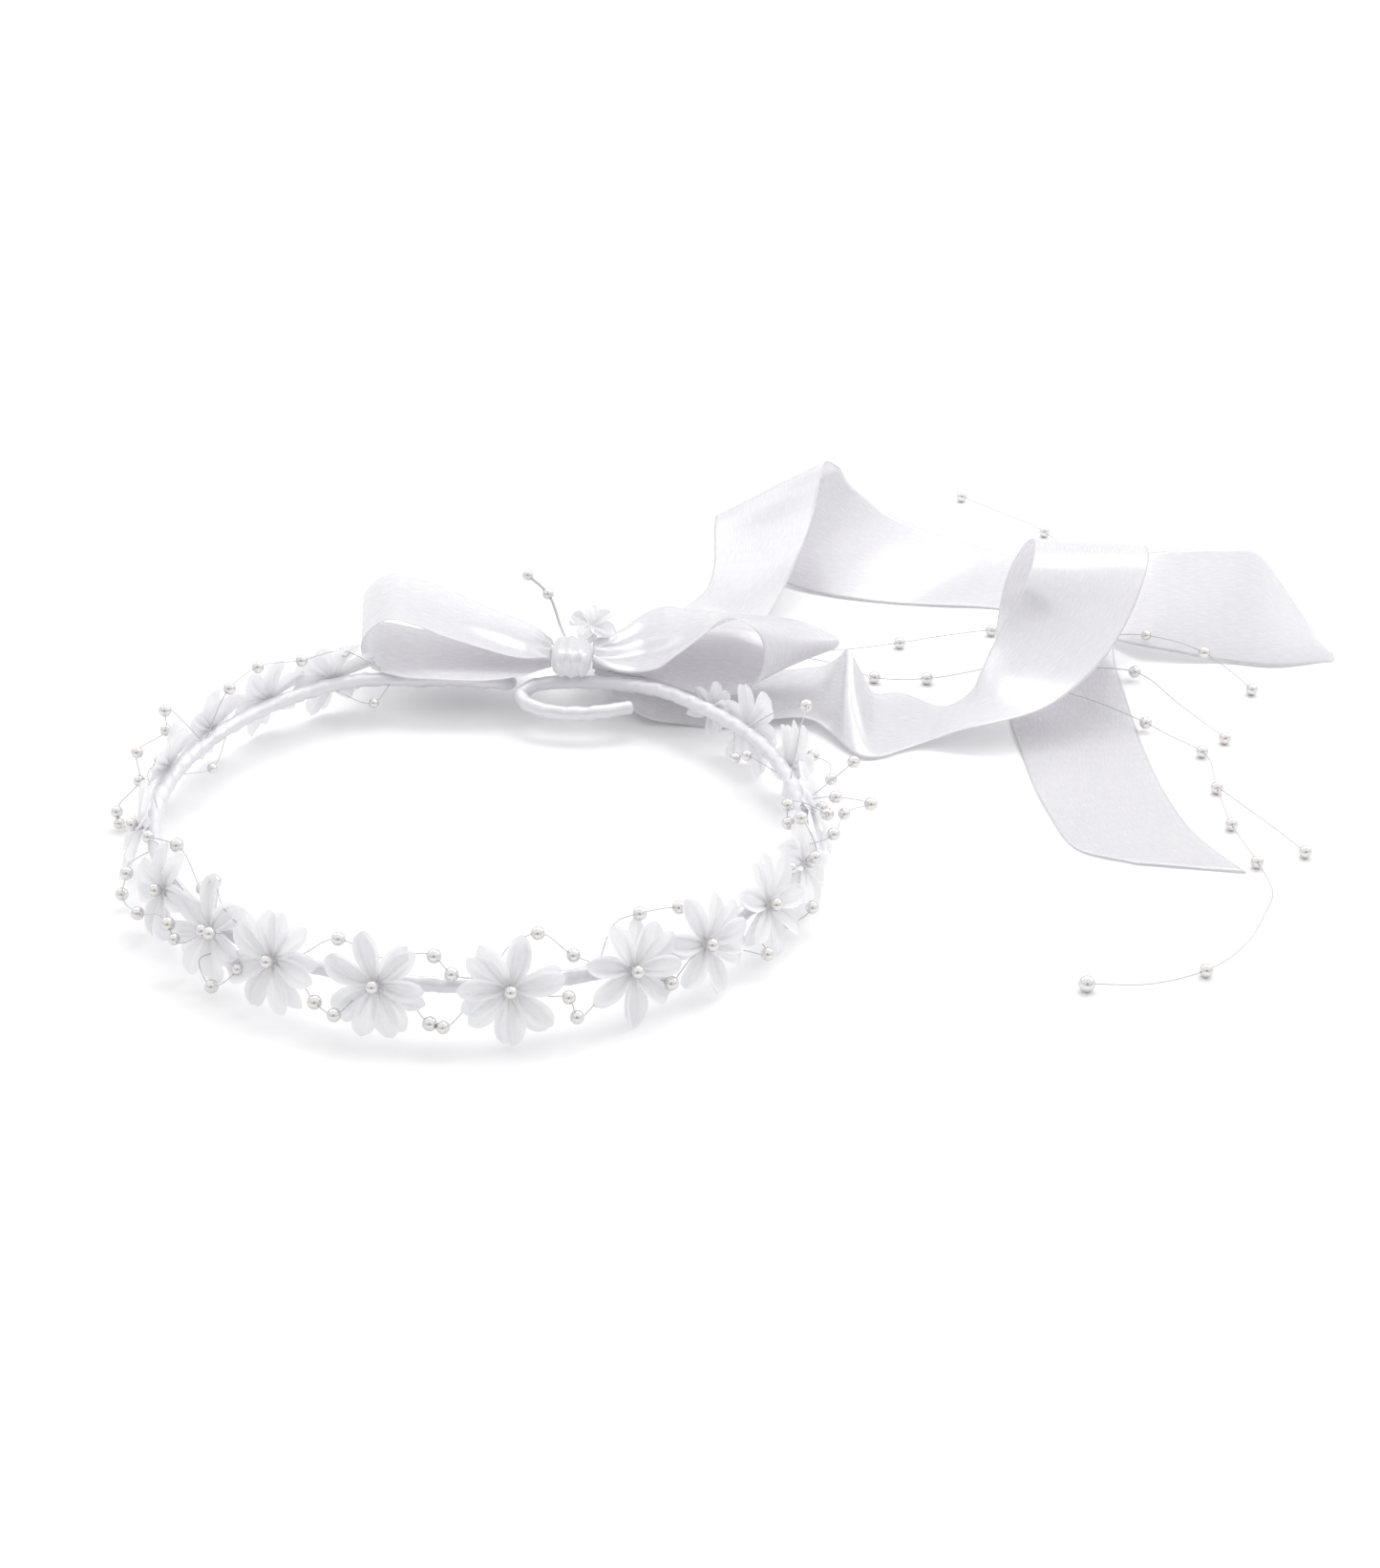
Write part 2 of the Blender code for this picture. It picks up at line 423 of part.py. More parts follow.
def main():
    clear_scene()
    satin = make_slot("satin_ribbon", (0.86, 0.86, 0.9), 0.35)
    wrap = make_slot("wrap_ribbon", (0.88, 0.88, 0.9), 0.45)
    steel = make_slot("hoop_steel", (0.7, 0.7, 0.72), 0.3, 1.0)
    petal = make_slot("petal_fabric", (0.9, 0.9, 0.93), 0.7)
    pearl = make_slot("pearl_bead", (0.92, 0.9, 0.92), 0.15)
    thread = make_slot("beaded_thread", (0.86, 0.86, 0.9), 0.3)

    # hoop: eye, arc from the right back round the front to the left back, eye
    start = math.degrees(math.atan2(70, 60))
    stop = math.degrees(math.atan2(82, -42)) - 360.0
    route = [crown_point(p) for p in EYE_RIGHT]
    route += [hoop_point(a, 0, 14.0) for a in np.linspace(start - 2.0, stop + 8.0, 46)]
    route += [crown_point(p) for p in EYE_LEFT]
    fine = smooth_rows(route, 4)
    first = resample(fine[:44], 0.004)
    middle = resample(fine[43:len(fine) - 40], 0.0125)
    last = resample(fine[len(fine) - 41:], 0.004)
    path = np.concatenate([first, middle[1:-1], last])
    sleeve("hoop_wrap", path, WRAP_DIAMETER / 2, WRAP_BORE / 2, 8, wrap)
    core = path.copy()
    core[0] = path[0] + (path[0] - path[1]) / np.linalg.norm(path[0] - path[1]) * 0.0005
    core[-1] = path[-1] + (path[-1] - path[-2]) / np.linalg.norm(path[-1] - path[-2]) * 0.0005
    solid_tube("hoop_wire", core, [WIRE_DIAMETER / 2] * len(core), 8, steel)

    # flowers stand on the outside of the hoop, tipped back
    tilt = FLOWER_TILT
    angles = [a for a, share in FLOWERS]
    for index, (angle, share) in enumerate(FLOWERS):
        out = np.array([math.cos(math.radians(angle)), math.sin(math.radians(angle)), 0.0])
        normal = out * math.cos(tilt) + np.array([0.0, 0.0, math.sin(tilt)])
        upward = -out * math.sin(tilt) + np.array([0.0, 0.0, math.cos(tilt)])
        back = hoop_point(angle, 0, 14.0) + normal * (WRAP_DIAMETER / 2 + GAP) - upward * 0.0009
        near = min(abs((angle - other + 180) % 360 - 180) for other in angles if other != angle)
        room = (HOOP_RADIUS + WRAP_DIAMETER / 2) * math.tan(math.radians(near) / 2) - GAP
        reach = min(FLOWER_RADIUS * share, room)
        flower("flower_%02d" % (index + 1), back, normal, upward, reach, petal)
        ball = back + normal * (0.0013 + GAP + CENTRE_BEAD_DIAMETER / 2)
        bead("flower_bead_%02d" % (index + 1), ball, CENTRE_BEAD_DIAMETER, pearl)

    # bow
    centre = crown_point((22, 89.5, 19.1))
    knot("bow_knot", centre, (0.0060, 0.0078, 0.0048), satin)
    strip("bow_loop_left", LOOP_LEFT, crown_point, 2, satin)
    strip("bow_loop_right", LOOP_RIGHT, crown_point, 2, satin)
    tails = [strip("ribbon_tail_front", TAIL_FRONT, tail_point, 2, satin),
             strip("ribbon_tail_back", TAIL_BACK, tail_point, 2, satin)]

    # floret and twig behind the knot
    solid_tube("floret_stem", smooth_rows([crown_point(p) for p in FLORET_STEM], 3), [0.0004] * 7, 6, thread)
    face = np.array([-0.05, -0.35, 0.93])
    face /= np.linalg.norm(face)
    lean = np.cross(face, np.array([1.0, 0.0, 0.0]))
    lean /= np.linalg.norm(lean)
    flower("floret_behind_knot", crown_point((28.3, 105.9, 23.1)), face, -lean, 0.0055, petal)
    bead_wide = BEAD_DIAMETER
    twig = smooth_rows([crown_point(p) for p in TWIG], 6)
    beaded_wire("twig_behind_knot", twig, (0.68, 1.0), (bead_wide, bead_wide), thread, 0.0014)

    # sprays along the hoop
    sprays = (("spray_upper_front", SPRAY_UPPER, (0.1, 0.2, 0.3, 0.42, 0.5, 0.57, 0.64, 0.76, 0.86)),
              ("spray_lower_front", SPRAY_LOWER, (0.14, 0.26, 0.36, 0.5, 0.6, 0.72, 0.86)),
              ("spray_lower_left", SPRAY_LEFT, (0.18, 0.3, 0.44, 0.56, 0.68, 0.82)),
              ("spray_upper_left", SPRAY_LEFT_TOP, (0.12, 0.24, 0.36, 0.48, 0.6, 0.7, 0.8, 0.9)),
              ("spray_upper_right", SPRAY_RIGHT, (0.16, 0.34, 0.5, 0.64, 0.8)),
              ("spray_lower_right", SPRAY_RIGHT_LOW, (0.25, 0.42, 0.58, 0.74)))
    for name, points, marks in sprays:
        route = [spray_point(a, r, z) for a, r, z in points]
        beaded_wire(name, smooth_rows(route, 6), marks, [bead_wide] * len(marks), thread)

    # trailing strands
    trails = (("trail_back", TRAIL_BACK, (0.5, 0.66, 0.9, 1.0)), ("trail_middle", TRAIL_MIDDLE, (0.43, 0.52, 1.0)),
              ("trail_front", TRAIL_FRONT, (0.22, 0.36, 0.48, 0.59, 0.8, 1.0)),
              ("trail_branch", TRAIL_BRANCH, (1.0,)), ("trail_far", TRAIL_FAR, (0.66, 1.0)))
    for name, points, marks in trails:
        route = []
        for index, point in enumerate(points):
            rise = BEAD_EXTRA * min(1.0, index / 2)
            route.append(tail_point(point) + np.array([0.0, 0.0, rise]))
        tails.append(beaded_cord(name, smooth_rows(route, 6), marks, [bead_wide] * len(marks), thread))

    # the tails and their strands hang from one hinge line under the knot
    hinge = bpy.data.objects.new("tails_hinge", None)
    hinge.location = tail_point((23, 93, 14))
    bpy.context.scene.collection.objects.link(hinge)
    for piece in tails:
        piece.parent = hinge
        piece.matrix_parent_inverse = Matrix.Translation(-hinge.location)


main()
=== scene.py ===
# %% [markdown]
# # A satin flower crown
# The crown is a wire hoop wound in white ribbon. Fabric flowers and strings of small pearly
# beads are wired to it, and at the open back a ribbon bow ends in two long tails.
# The imported model gives every piece a place. Here each plain solid is replaced by a finely made piece that
# sits in the same space; all but the two ribbon tails ride on the same moving body.

# %% Load the frame
import math
import random

import bpy
import numpy as np
from mathutils import Matrix, Vector


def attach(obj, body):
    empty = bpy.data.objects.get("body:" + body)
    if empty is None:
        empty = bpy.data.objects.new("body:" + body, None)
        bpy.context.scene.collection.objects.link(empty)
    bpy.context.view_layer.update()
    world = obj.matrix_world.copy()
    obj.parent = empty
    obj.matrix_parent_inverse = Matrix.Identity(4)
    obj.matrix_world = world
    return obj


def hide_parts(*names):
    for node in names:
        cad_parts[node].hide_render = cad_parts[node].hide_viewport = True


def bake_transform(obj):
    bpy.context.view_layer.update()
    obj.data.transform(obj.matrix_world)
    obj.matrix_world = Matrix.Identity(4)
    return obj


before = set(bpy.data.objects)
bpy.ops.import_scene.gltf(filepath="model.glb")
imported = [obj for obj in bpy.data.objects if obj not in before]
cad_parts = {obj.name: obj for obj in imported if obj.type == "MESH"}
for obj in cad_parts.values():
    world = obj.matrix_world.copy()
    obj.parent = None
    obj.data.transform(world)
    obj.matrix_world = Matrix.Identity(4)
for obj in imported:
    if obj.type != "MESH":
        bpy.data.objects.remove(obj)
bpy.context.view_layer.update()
MM = 0.001
RIBBON_WIDTH = 0.038
HOOP_RADIUS = 0.092
WRAP_RADIUS = 0.0022

# %% [markdown]
# ## The camera
# A long lens looks down at about 29 degrees from in front of the crown. The camera comes first.

# %% Camera
PITCH = math.radians(28.9685)
ROLL = math.radians(1.3247)
CAMERA_PLACE = (0.06004, -0.70249, 0.41287)
forward = Vector((0.0, math.cos(PITCH), -math.sin(PITCH)))
level = Vector((1.0, 0.0, 0.0))
upright = level.cross(forward)
right = level * math.cos(ROLL) + upright * math.sin(ROLL)
top = upright * math.cos(ROLL) - level * math.sin(ROLL)
lens = bpy.data.cameras.new("crown_camera")
lens.sensor_width = 36.0
lens.lens = 64.68
lens.clip_start = 0.01
lens.clip_end = 50.0
camera = bpy.data.objects.new("crown_camera", lens)
bpy.context.scene.collection.objects.link(camera)
turn = Matrix((right, top, -forward)).transposed().to_4x4()
camera.matrix_world = Matrix.Translation(CAMERA_PLACE) @ turn
bpy.context.scene.camera = camera
print("camera at", [round(c, 3) for c in camera.location])


# %% [markdown]
# ## Smooth routes
# Threads, ribbons and the hoop all follow a few given points. One function turns such points into a smooth
# curve, weighting each tangent by the spacing of its neighbours, so an uneven set of points gives no
# overshoot.

# %% Curves through given points
def smooth_rows(rows, per_span):
    """A smooth curve through the rows, with per_span steps between each two."""
    rows = np.array(rows, float)
    chord = np.linalg.norm(np.diff(rows, axis=0), axis=1) + 1e-9
    slope = np.diff(rows, axis=0) / chord[:, None]
    tangent = np.zeros_like(rows)
    tangent[0] = slope[0]
    tangent[-1] = slope[-1]
    for i in range(1, len(rows) - 1):
        mixed = slope[i - 1] * chord[i] + slope[i] * chord[i - 1]
        tangent[i] = mixed / (chord[i] + chord[i - 1])
    out = []
    for i in range(len(rows) - 1):
        for k in range(per_span):
            t = k / per_span
            a = 2 * t**3 - 3 * t**2 + 1
            b = (t**3 - 2 * t**2 + t) * chord[i]
            c = 3 * t**2 - 2 * t**3
            d = (t**3 - t**2) * chord[i]
            out.append(a * rows[i] + b * tangent[i] + c * rows[i + 1] + d * tangent[i + 1])
    out.append(rows[-1])
    return np.array(out)


def lengths(points):
    """The distance along the path to each point."""
    step = np.linalg.norm(np.diff(points, axis=0), axis=1)
    return np.concatenate([[0.0], np.cumsum(step)])


def resample(points, spacing):
    """The same path with evenly spaced points."""
    along = lengths(points)
    count = max(2, int(round(along[-1] / spacing)) + 1)
    marks = np.linspace(0.0, along[-1], count)
    return np.stack([np.interp(marks, along, points[:, k]) for k in range(3)], axis=1)


def carried_frames(path):
    """Two directions across the path at each point, carried along it without twist."""
    tangent = np.gradient(path, axis=0)
    tangent /= np.linalg.norm(tangent, axis=1)[:, None]
    start = np.array([0.0, 0.0, 1.0])
    side = []
    for t in tangent:
        start = start - t * np.dot(start, t)
        start = start / np.linalg.norm(start)
        side.append(start)
    side = np.array(side)
    return side, np.cross(tangent, side)


def add_piece(name, verts, faces, finish, uvs=None):
    mesh = bpy.data.meshes.new(name)
    mesh.from_pydata([tuple(v) for v in verts], [], [tuple(f) for f in faces])
    mesh.shade_smooth()
    if uvs is not None:
        layer = mesh.uv_layers.new(name="cloth")
        order = np.zeros(len(mesh.loops), dtype=np.int32)
        mesh.loops.foreach_get("vertex_index", order)
        layer.data.foreach_set("uv", np.array(uvs, float)[order].ravel())
    mesh.materials.append(finish)
    piece = bpy.data.objects.new(name, mesh)
    bpy.context.scene.collection.objects.link(piece)
    return piece


print("curve and mesh helpers ready")


# %% [markdown]
# ## Shader maths in plain expressions
# A finish is a small network of nodes. Wrapping a socket in a class that knows + - * and /
# lets the maths be read as a formula, and one method makes any other node.

# %% Shader helpers
OBJECT_OUTPUT = 3   # of a Texture Coordinate node
FACING_OUTPUT = 1   # of a Layer Weight node


class Wire:
    """A node's output socket that sums can be written with."""

    def __init__(self, tree, socket):
        self.tree = tree
        self.socket = socket

    def maths(self, operation, first, second):
        node = self.tree.nodes.new("ShaderNodeMath")
        node.operation = operation
        for port, value in ((node.inputs[0], first), (node.inputs[1], second)):
            if isinstance(value, Wire):
                self.tree.links.new(value.socket, port)
            else:
                port.default_value = value
        return Wire(self.tree, node.outputs[0])

    def __add__(self, other):
        return self.maths("ADD", self, other)

    def __radd__(self, other):
        return self.maths("ADD", other, self)

    def __sub__(self, other):
        return self.maths("SUBTRACT", self, other)

    def __rsub__(self, other):
        return self.maths("SUBTRACT", other, self)

    def __mul__(self, other):
        return self.maths("MULTIPLY", self, other)

    def __rmul__(self, other):
        return self.maths("MULTIPLY", other, self)

    def __truediv__(self, other):
        return self.maths("DIVIDE", self, other)

    def __gt__(self, other):
        return self.maths("GREATER_THAN", self, other)

    def __abs__(self):
        return self.maths("ABSOLUTE", self, 0.0)


class Network:
    """A node tree, with one method that makes any node."""

    def __init__(self, tree):
        self.tree = tree

    def feed(self, port, value):
        """Links a wire to an input socket, or sets a number or a colour on it."""
        if isinstance(value, Wire):
            self.tree.links.new(value.socket, port)
        elif isinstance(value, tuple):
            port.default_value = (*value, 1.0)
        else:
            port.default_value = value

    def node(self, kind, settings=None, output=0, ports=None, **values):
        """A node by its type. ports holds the sockets that only a number tells apart."""
        made = self.tree.nodes.new(kind)
        for key, value in (settings or {}).items():
            if key == "stops":
                for stop, (place, colour) in zip(made.color_ramp.elements, value):
                    stop.position = place
                    stop.color = (*colour, 1.0)
            else:
                setattr(made, key, value)
        for key, value in {**(ports or {}), **values}.items():
            self.feed(made.inputs[key], value)
        return Wire(self.tree, made.outputs[output])

    def split(self, vector):
        """The x, y and z of a vector."""
        parts = self.node("ShaderNodeSeparateXYZ", Vector=vector).socket.node.outputs
        return [Wire(self.tree, part) for part in parts]


class Finish(Network):
    """One material."""

    def __init__(self, name):
        self.material = bpy.data.materials.new(name)
        self.material.use_nodes = True
        super().__init__(self.material.node_tree)
        self.skin = self.tree.nodes["Principled BSDF"]

    def set(self, **values):
        names = {"colour": "Base Color", "roughness": "Roughness", "metallic": "Metallic",
                 "coat": "Coat Weight", "coat_roughness": "Coat Roughness", "sheen": "Sheen Weight",
                 "sheen_roughness": "Sheen Roughness", "normal": "Normal", "alpha": "Alpha",
                 "shine": "Specular IOR Level"}
        for key, value in values.items():
            self.feed(self.skin.inputs[names[key]], value)
        return self.material

    def thin(self, share, colour):
        """Thin cloth lets light through: mixes in a share of a see-through scatter."""
        glow = self.node("ShaderNodeBsdfTranslucent", Color=colour)
        skin = Wire(self.tree, self.skin.outputs[0])
        mixed = self.node("ShaderNodeMixShader", ports={0: share, 1: skin, 2: glow})
        self.feed(self.tree.nodes["Material Output"].inputs[0], mixed)
        return self.material

    def cloth_mm(self):
        """The place on the cloth, across and along it, in mm."""
        return self.split(self.node("ShaderNodeUVMap", {"uv_map": "cloth"}))[:2]

    def object_place(self):
        """The place in the piece's own metres."""
        return self.node("ShaderNodeTexCoord", None, OBJECT_OUTPUT)

    def at(self, x, y, z=0.0):
        return self.node("ShaderNodeCombineXYZ", X=x, Y=y, Z=z)

    def cloud(self, where, size, detail=2.0):
        return self.node("ShaderNodeTexNoise", Vector=where, Scale=size, Detail=detail)

    def blend(self, share, first, second):
        """A colour between two colours."""
        return self.node("ShaderNodeMix", {"data_type": "RGBA"}, 2, {0: share, 6: first, 7: second})

    def relief(self, height, depth, strength=1.0):
        return self.node("ShaderNodeBump", Height=height, Distance=depth, Strength=strength)


print("shader helpers ready")


# %% [markdown]
# ## Satin ribbon
# Satin is woven so that long threads float on its face: very fine lines run along the
# ribbon, which break the shine into soft streaks, and each edge is a narrow, tighter woven
# selvedge. The texture lies in the ribbon's own millimetres, across and along.

# %% Satin finish
SELVEDGE_FROM = 18.35   # mm from the ribbon's middle line
WEAVE_DEPTH = 0.00004
THROUGH_SATIN = (0.97, 0.965, 0.975)


def satin_finish(name, colour, dull, rough, light):
    """Satin of a colour and its duller threads. light is the share that comes through it."""
    made = Finish(name)
    across, along = made.cloth_mm()
    floats = made.cloud(made.at(across * 9.0, along * 0.22), 1.0, 3.0)
    rows = made.cloud(made.at(across * 1.2, along * 5.0), 1.0, 1.0)
    sway = made.cloud(made.at(across * 0.08, along * 0.03), 1.0, 2.0)
    edge = abs(across) > SELVEDGE_FROM
    tint = made.blend(floats * 0.12 + sway * 0.35 + edge * 0.2, colour, dull)
    height = floats * 0.7 + rows * 0.25 + edge * 0.3
    made.set(colour=tint, roughness=rough + floats * 0.08 + edge * 0.15 - 0.04, metallic=0.28,
             normal=made.relief(height, WEAVE_DEPTH, 0.28), sheen=0.15, sheen_roughness=0.35, shine=0.6)
    return made.thin(light, THROUGH_SATIN)


satin = satin_finish("satin_ribbon", (0.89, 0.885, 0.905), (0.80, 0.795, 0.82), 0.27, 0.46)
# The hoop's wound satin is painted darker than the bow's: painted shade for the shade on the hoop. It is also
# rougher and lets less light through.
shaded_wrap_satin = satin_finish("wrap_ribbon", (0.84, 0.835, 0.86), (0.75, 0.75, 0.79), 0.42, 0.12)
print("satin finishes:", satin.name, shaded_wrap_satin.name)


# %% [markdown]
# ## Petals, beads, thread and wire
# The petals are thin starched cloth, pressed in a mould: fine ribs run from base to tip and
# a little light comes through. The beads have a pearly coat over a metallic ground. The
# thread is clear nylon, and only the cut ends of the spring wire show.

# %% Petal, bead, thread and wire finishes
RIB_DEPTH = 0.00016
PETAL_BASE_LIGHT_FADE = 15.0   # mm over which a petal's colour darkens from its base: painted light at the base, against the shade in the flower's middle


def petal_finish():
    made = Finish("petal_fabric")
    across, along = made.cloth_mm()
    weave = made.cloud(made.at(across * 6.0, along * 6.0), 1.0, 2.0)
    rib = made.cloud(made.at(across * 2.4, along * 0.16), 1.0, 1.0)
    # Painted light: each petal is lighter at its base, against the shade that falls in the flower's middle,
    # and darker toward its tip; the weave adds random tone.
    tint = made.blend(along / PETAL_BASE_LIGHT_FADE + weave * 0.3 - 0.15, (0.95, 0.945, 0.95), (0.89, 0.89, 0.91))
    height = weave * 0.35 + rib
    made.set(colour=tint, roughness=0.62 + weave * 0.2, alpha=0.90 + weave * 0.14,
             normal=made.relief(height, RIB_DEPTH, 0.8), sheen=0.2, sheen_roughness=0.5, shine=0.3)
    return made.thin(0.32, (0.98, 0.98, 1.0))


def bead_finish():
    made = Finish("pearl_bead")
    film = made.cloud(made.object_place(), 900.0, 2.0)
    # The colour darkens from each bead's face to its outline: painted shade at the rim, so the beads stand
    # out against the white floor.
    painted_rim_shade = made.node("ShaderNodeLayerWeight", None, FACING_OUTPUT, Blend=0.35)
    tint = made.blend(painted_rim_shade, (0.80, 0.775, 0.76), (0.56, 0.55, 0.55))
    return made.set(colour=tint, metallic=0.75, roughness=0.16 + film * 0.1, coat=0.35,
                    coat_roughness=0.08, normal=made.relief(film, 0.00002, 0.2))


def thread_finish():
    made = Finish("beaded_thread")
    film = made.cloud(made.object_place(), 400.0, 1.0)
    return made.set(colour=(0.62, 0.62, 0.65), roughness=0.22 + film * 0.1, alpha=0.80, shine=0.6)


def wire_finish():
    made = Finish("hoop_steel")
    drawn = made.cloud(made.object_place(), 2500.0, 2.0)
    return made.set(colour=(0.62, 0.62, 0.64), metallic=1.0, roughness=0.25 + drawn * 0.15)


petal_cloth = petal_finish()
bead_skin = bead_finish()
nylon = thread_finish()
steel = wire_finish()
hoop_wire = bpy.data.objects.get("hoop_wire")
if hoop_wire is not None:
    hoop_wire.material_slots[0].material = steel
print("small finishes ready")


# %% [markdown]
# ## Beads and threads
# A bead is a ball with a small hole through it, so its mesh is a turned profile that dips in
# at both poles. All the beads of one string are one mesh, because they are threaded together.

# %% Bead and thread makers
BEAD_SIDES = 18
HOLE_MOUTH = (0.10, 0.90)   # the hole's radius and its mouth's distance out, in bead radii
BEAD_FULLNESS = 1.05        # of the listed widths, for the pearly coat


def bead_shape(centre, axis, wide):
    axis = np.array(axis, float) / np.linalg.norm(axis)
    guess = np.array([0.0, 0.0, 1.0]) if abs(axis[2]) < 0.9 else np.array([1.0, 0.0, 0.0])
    one = np.cross(axis, guess)
    one /= np.linalg.norm(one)
    two = np.cross(axis, one)
    mouth, pole = HOLE_MOUTH
    ball = [(math.cos(math.radians(a)), math.sin(math.radians(a))) for a in range(-80, 81, 16)]
    profile = [(mouth, -pole)] + ball + [(mouth, pole)]
    verts = []
    for reach, rise in profile:
        for k in range(BEAD_SIDES):
            spin = 2 * math.pi * k / BEAD_SIDES
            ray = one * math.cos(spin) + two * math.sin(spin)
            verts.append(np.array(centre) + (ray * reach + axis * rise) * wide / 2)
    faces = []
    for i in range(len(profile) - 1):
        low, high = i * BEAD_SIDES, (i + 1) * BEAD_SIDES
        for k in range(BEAD_SIDES):
            after = (k + 1) % BEAD_SIDES
            faces.append((low + k, low + after, high + after, high + k))
    faces.append(tuple(range(BEAD_SIDES - 1, -1, -1)))
    faces.append(tuple((len(profile) - 1) * BEAD_SIDES + k for k in range(BEAD_SIDES)))
    return verts, faces


def bead_string(name, spots):
    verts, faces = [], []
    for centre, axis, wide in spots:
        more, shell = bead_shape(centre, axis, wide)
        faces += [tuple(len(verts) + v for v in face) for face in shell]
        verts += more
    return add_piece(name, verts, faces, bead_skin)


def thread_curve(name, points, wide):
    line = bpy.data.curves.new(name, "CURVE")
    line.dimensions = "3D"
    line.bevel_depth = wide / 2
    line.bevel_resolution = 2
    line.use_fill_caps = True
    spline = line.splines.new("POLY")
    spline.points.add(len(points) - 1)
    for spot, point in zip(spline.points, points):
        spot.co = (*point, 1.0)
    line.materials.append(nylon)
    piece = bpy.data.objects.new(name, line)
    bpy.context.scene.collection.objects.link(piece)
    return piece


def strung(points, widths, per_span):
    """The smooth path and the beads that sit on its listed points."""
    path = smooth_rows(points, per_span)
    spots = []
    for i, wide in enumerate(widths):
        if wide:
            here = min(i * per_span, len(path) - 1)
            ahead = path[min(here + 1, len(path) - 1)] - path[max(here - 1, 0)]
            spots.append((path[here], ahead, wide * BEAD_FULLNESS * MM))
    return path, spots


print("bead and thread makers ready")

# %% [markdown]
# ## Trailing strands
# Five loose strands leave the bow with the tails and lie on the table. Each is a fixed length
# of thin thread that rests on the surface, held up only where a bead or a ribbon lifts it.

# %% Trailing strands
# each point is x, y, z in mm and the bead's width there, 0 for bare thread
TRAILS = {
    "trail_back": [(33, 96.5, 10.6, 0), (42, 101, 9.6, 0), (55, 110, 8.2, 0), (70, 117.5, 7, 0),
                   (85, 125, 4.5, 0), (100, 131, 2.4, 0), (115, 136, 1.6, 0), (128.6, 139.9, 2.0, 3.8),
                   (144, 147, 1.6, 0), (160, 151, 2.0, 3.8), (181, 149, 1.8, 0), (195, 145, 4, 0),
                   (209.5, 137.5, 8, 3.2), (228, 130.5, 5.6, 3.8), (237, 121, 2.4, 0),
                   (241, 111.5, 2.0, 3.8)],
    "trail_middle": [(35, 94.5, 11.2, 0), (43, 96.5, 9, 0), (56, 101, 7, 0), (70, 108, 6.6, 0),
                     (86, 114.5, 6, 0), (98, 120.5, 5, 0), (107, 120, 3.2, 0), (113, 117.5, 2, 0),
                     (119, 114, 2.0, 3.8), (136, 114, 2.0, 3.8), (150, 119, 2.2, 0), (160, 123, 2.8, 0),
                     (182, 122.5, 2.8, 0), (204, 119.9, 3.2, 3.8), (216, 100, 1.8, 0), (227, 77.3, 2.0, 3.8)],
    "trail_front": [(166, 112, 1.9, 0), (180, 106, 2.2, 0), (196, 92, 3.0, 0), (203, 84.5, 3.0, 3.8),
                    (210, 78, 2.0, 0), (218.5, 68, 2.0, 3.8), (219.5, 45, 2.0, 3.8), (220.5, 22.8, 2.0, 3.8),
                    (224.5, 1, 2.0, 3.8), (226.5, -14, 1.2, 0), (221.5, -28, 1.0, 0), (214, -43, 1.2, 0),
                    (201, -57.8, 2.0, 3.8), (185, -64, 1.2, 0), (167.7, -66.3, 2.3, 4.5)],
    "trail_branch": [(220.6, 44, 2.1, 0), (226, 36, 1.2, 0), (233, 23, 1.2, 0), (239.6, 7.5, 2.0, 3.8)],
    "trail_far": [(176, 188, 2.9, 0), (184, 206, 1.4, 0), (191, 222, 1.4, 0), (186, 234, 2.0, 3.8),
                  (172, 252, 1.4, 0), (158.3, 264.6, 2.0, 3.8)]}
THREAD_WIDE = 0.00036
STEPS_PER_SPAN = 8
for name, marks in TRAILS.items():
    points = [np.array(mark[:3]) * MM for mark in marks]
    path, spots = strung(points, [mark[3] for mark in marks], STEPS_PER_SPAN)
    beads = bead_string(name + "_beads", spots)
    strand = thread_curve(name + "_thread", path, THREAD_WIDE)
    reach = float(lengths(path)[-1])
    for piece in (strand, beads):
        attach(piece, "tails")
    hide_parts(name)
    tuple(float(c) for c in path[0])
    print(name, "is", round(reach * 1000), "mm long with", len(spots), "beads")


# %% [markdown]
# ## The wrapped hoop
# One spring wire is bent into a ring whose ends turn back into two lacing eyes. Ribbon is
# wound over it in a spiral, so its surface climbs gently under each turn and drops at the
# ribbon's edge. A saw-toothed radius that follows the spiral gives those steps.

# %% Hoop route
HOOP_HEIGHT = 14.0   # mm
EYE_RIGHT = [(41, 75.5, 9), (34, 72, 9.3), (26, 70.5, 9), (16, 71.5, 9), (9, 75, 9.5), (6.5, 81, 10),
             (11, 85.5, 10.8), (20, 87, 11.4), (35, 84.5, 12.4), (50, 78.5, 13.5)]
EYE_LEFT = [(-42, 82, 13), (-30, 85, 12), (-14, 87, 11.5), (-4, 86.5, 11.2), (1.5, 88.2, 10), (2.5, 92, 8.5),
            (-2, 94.8, 8), (-10, 95.4, 8), (-20, 93.8, 8), (-28, 91, 8.5)]


def round_point(angle_deg, radius_mm, height_mm):
    angle = math.radians(angle_deg)
    return np.array([math.cos(angle) * radius_mm, math.sin(angle) * radius_mm, height_mm]) * MM


# the ring runs clockwise from beside the right eye to beside the left one
start = math.degrees(math.atan2(70, 60))
stop = math.degrees(math.atan2(82, -42)) - 360.0
route = [np.array(p) * MM for p in EYE_RIGHT]
route += [round_point(a, HOOP_RADIUS / MM, HOOP_HEIGHT) for a in np.linspace(start - 2.0, stop + 8.0, 46)]
route += [np.array(p) * MM for p in EYE_LEFT]
hoop_path = resample(smooth_rows(route, 6), 0.0006)
print("hoop wire is", round(float(lengths(hoop_path)[-1]) * 1000), "mm long")

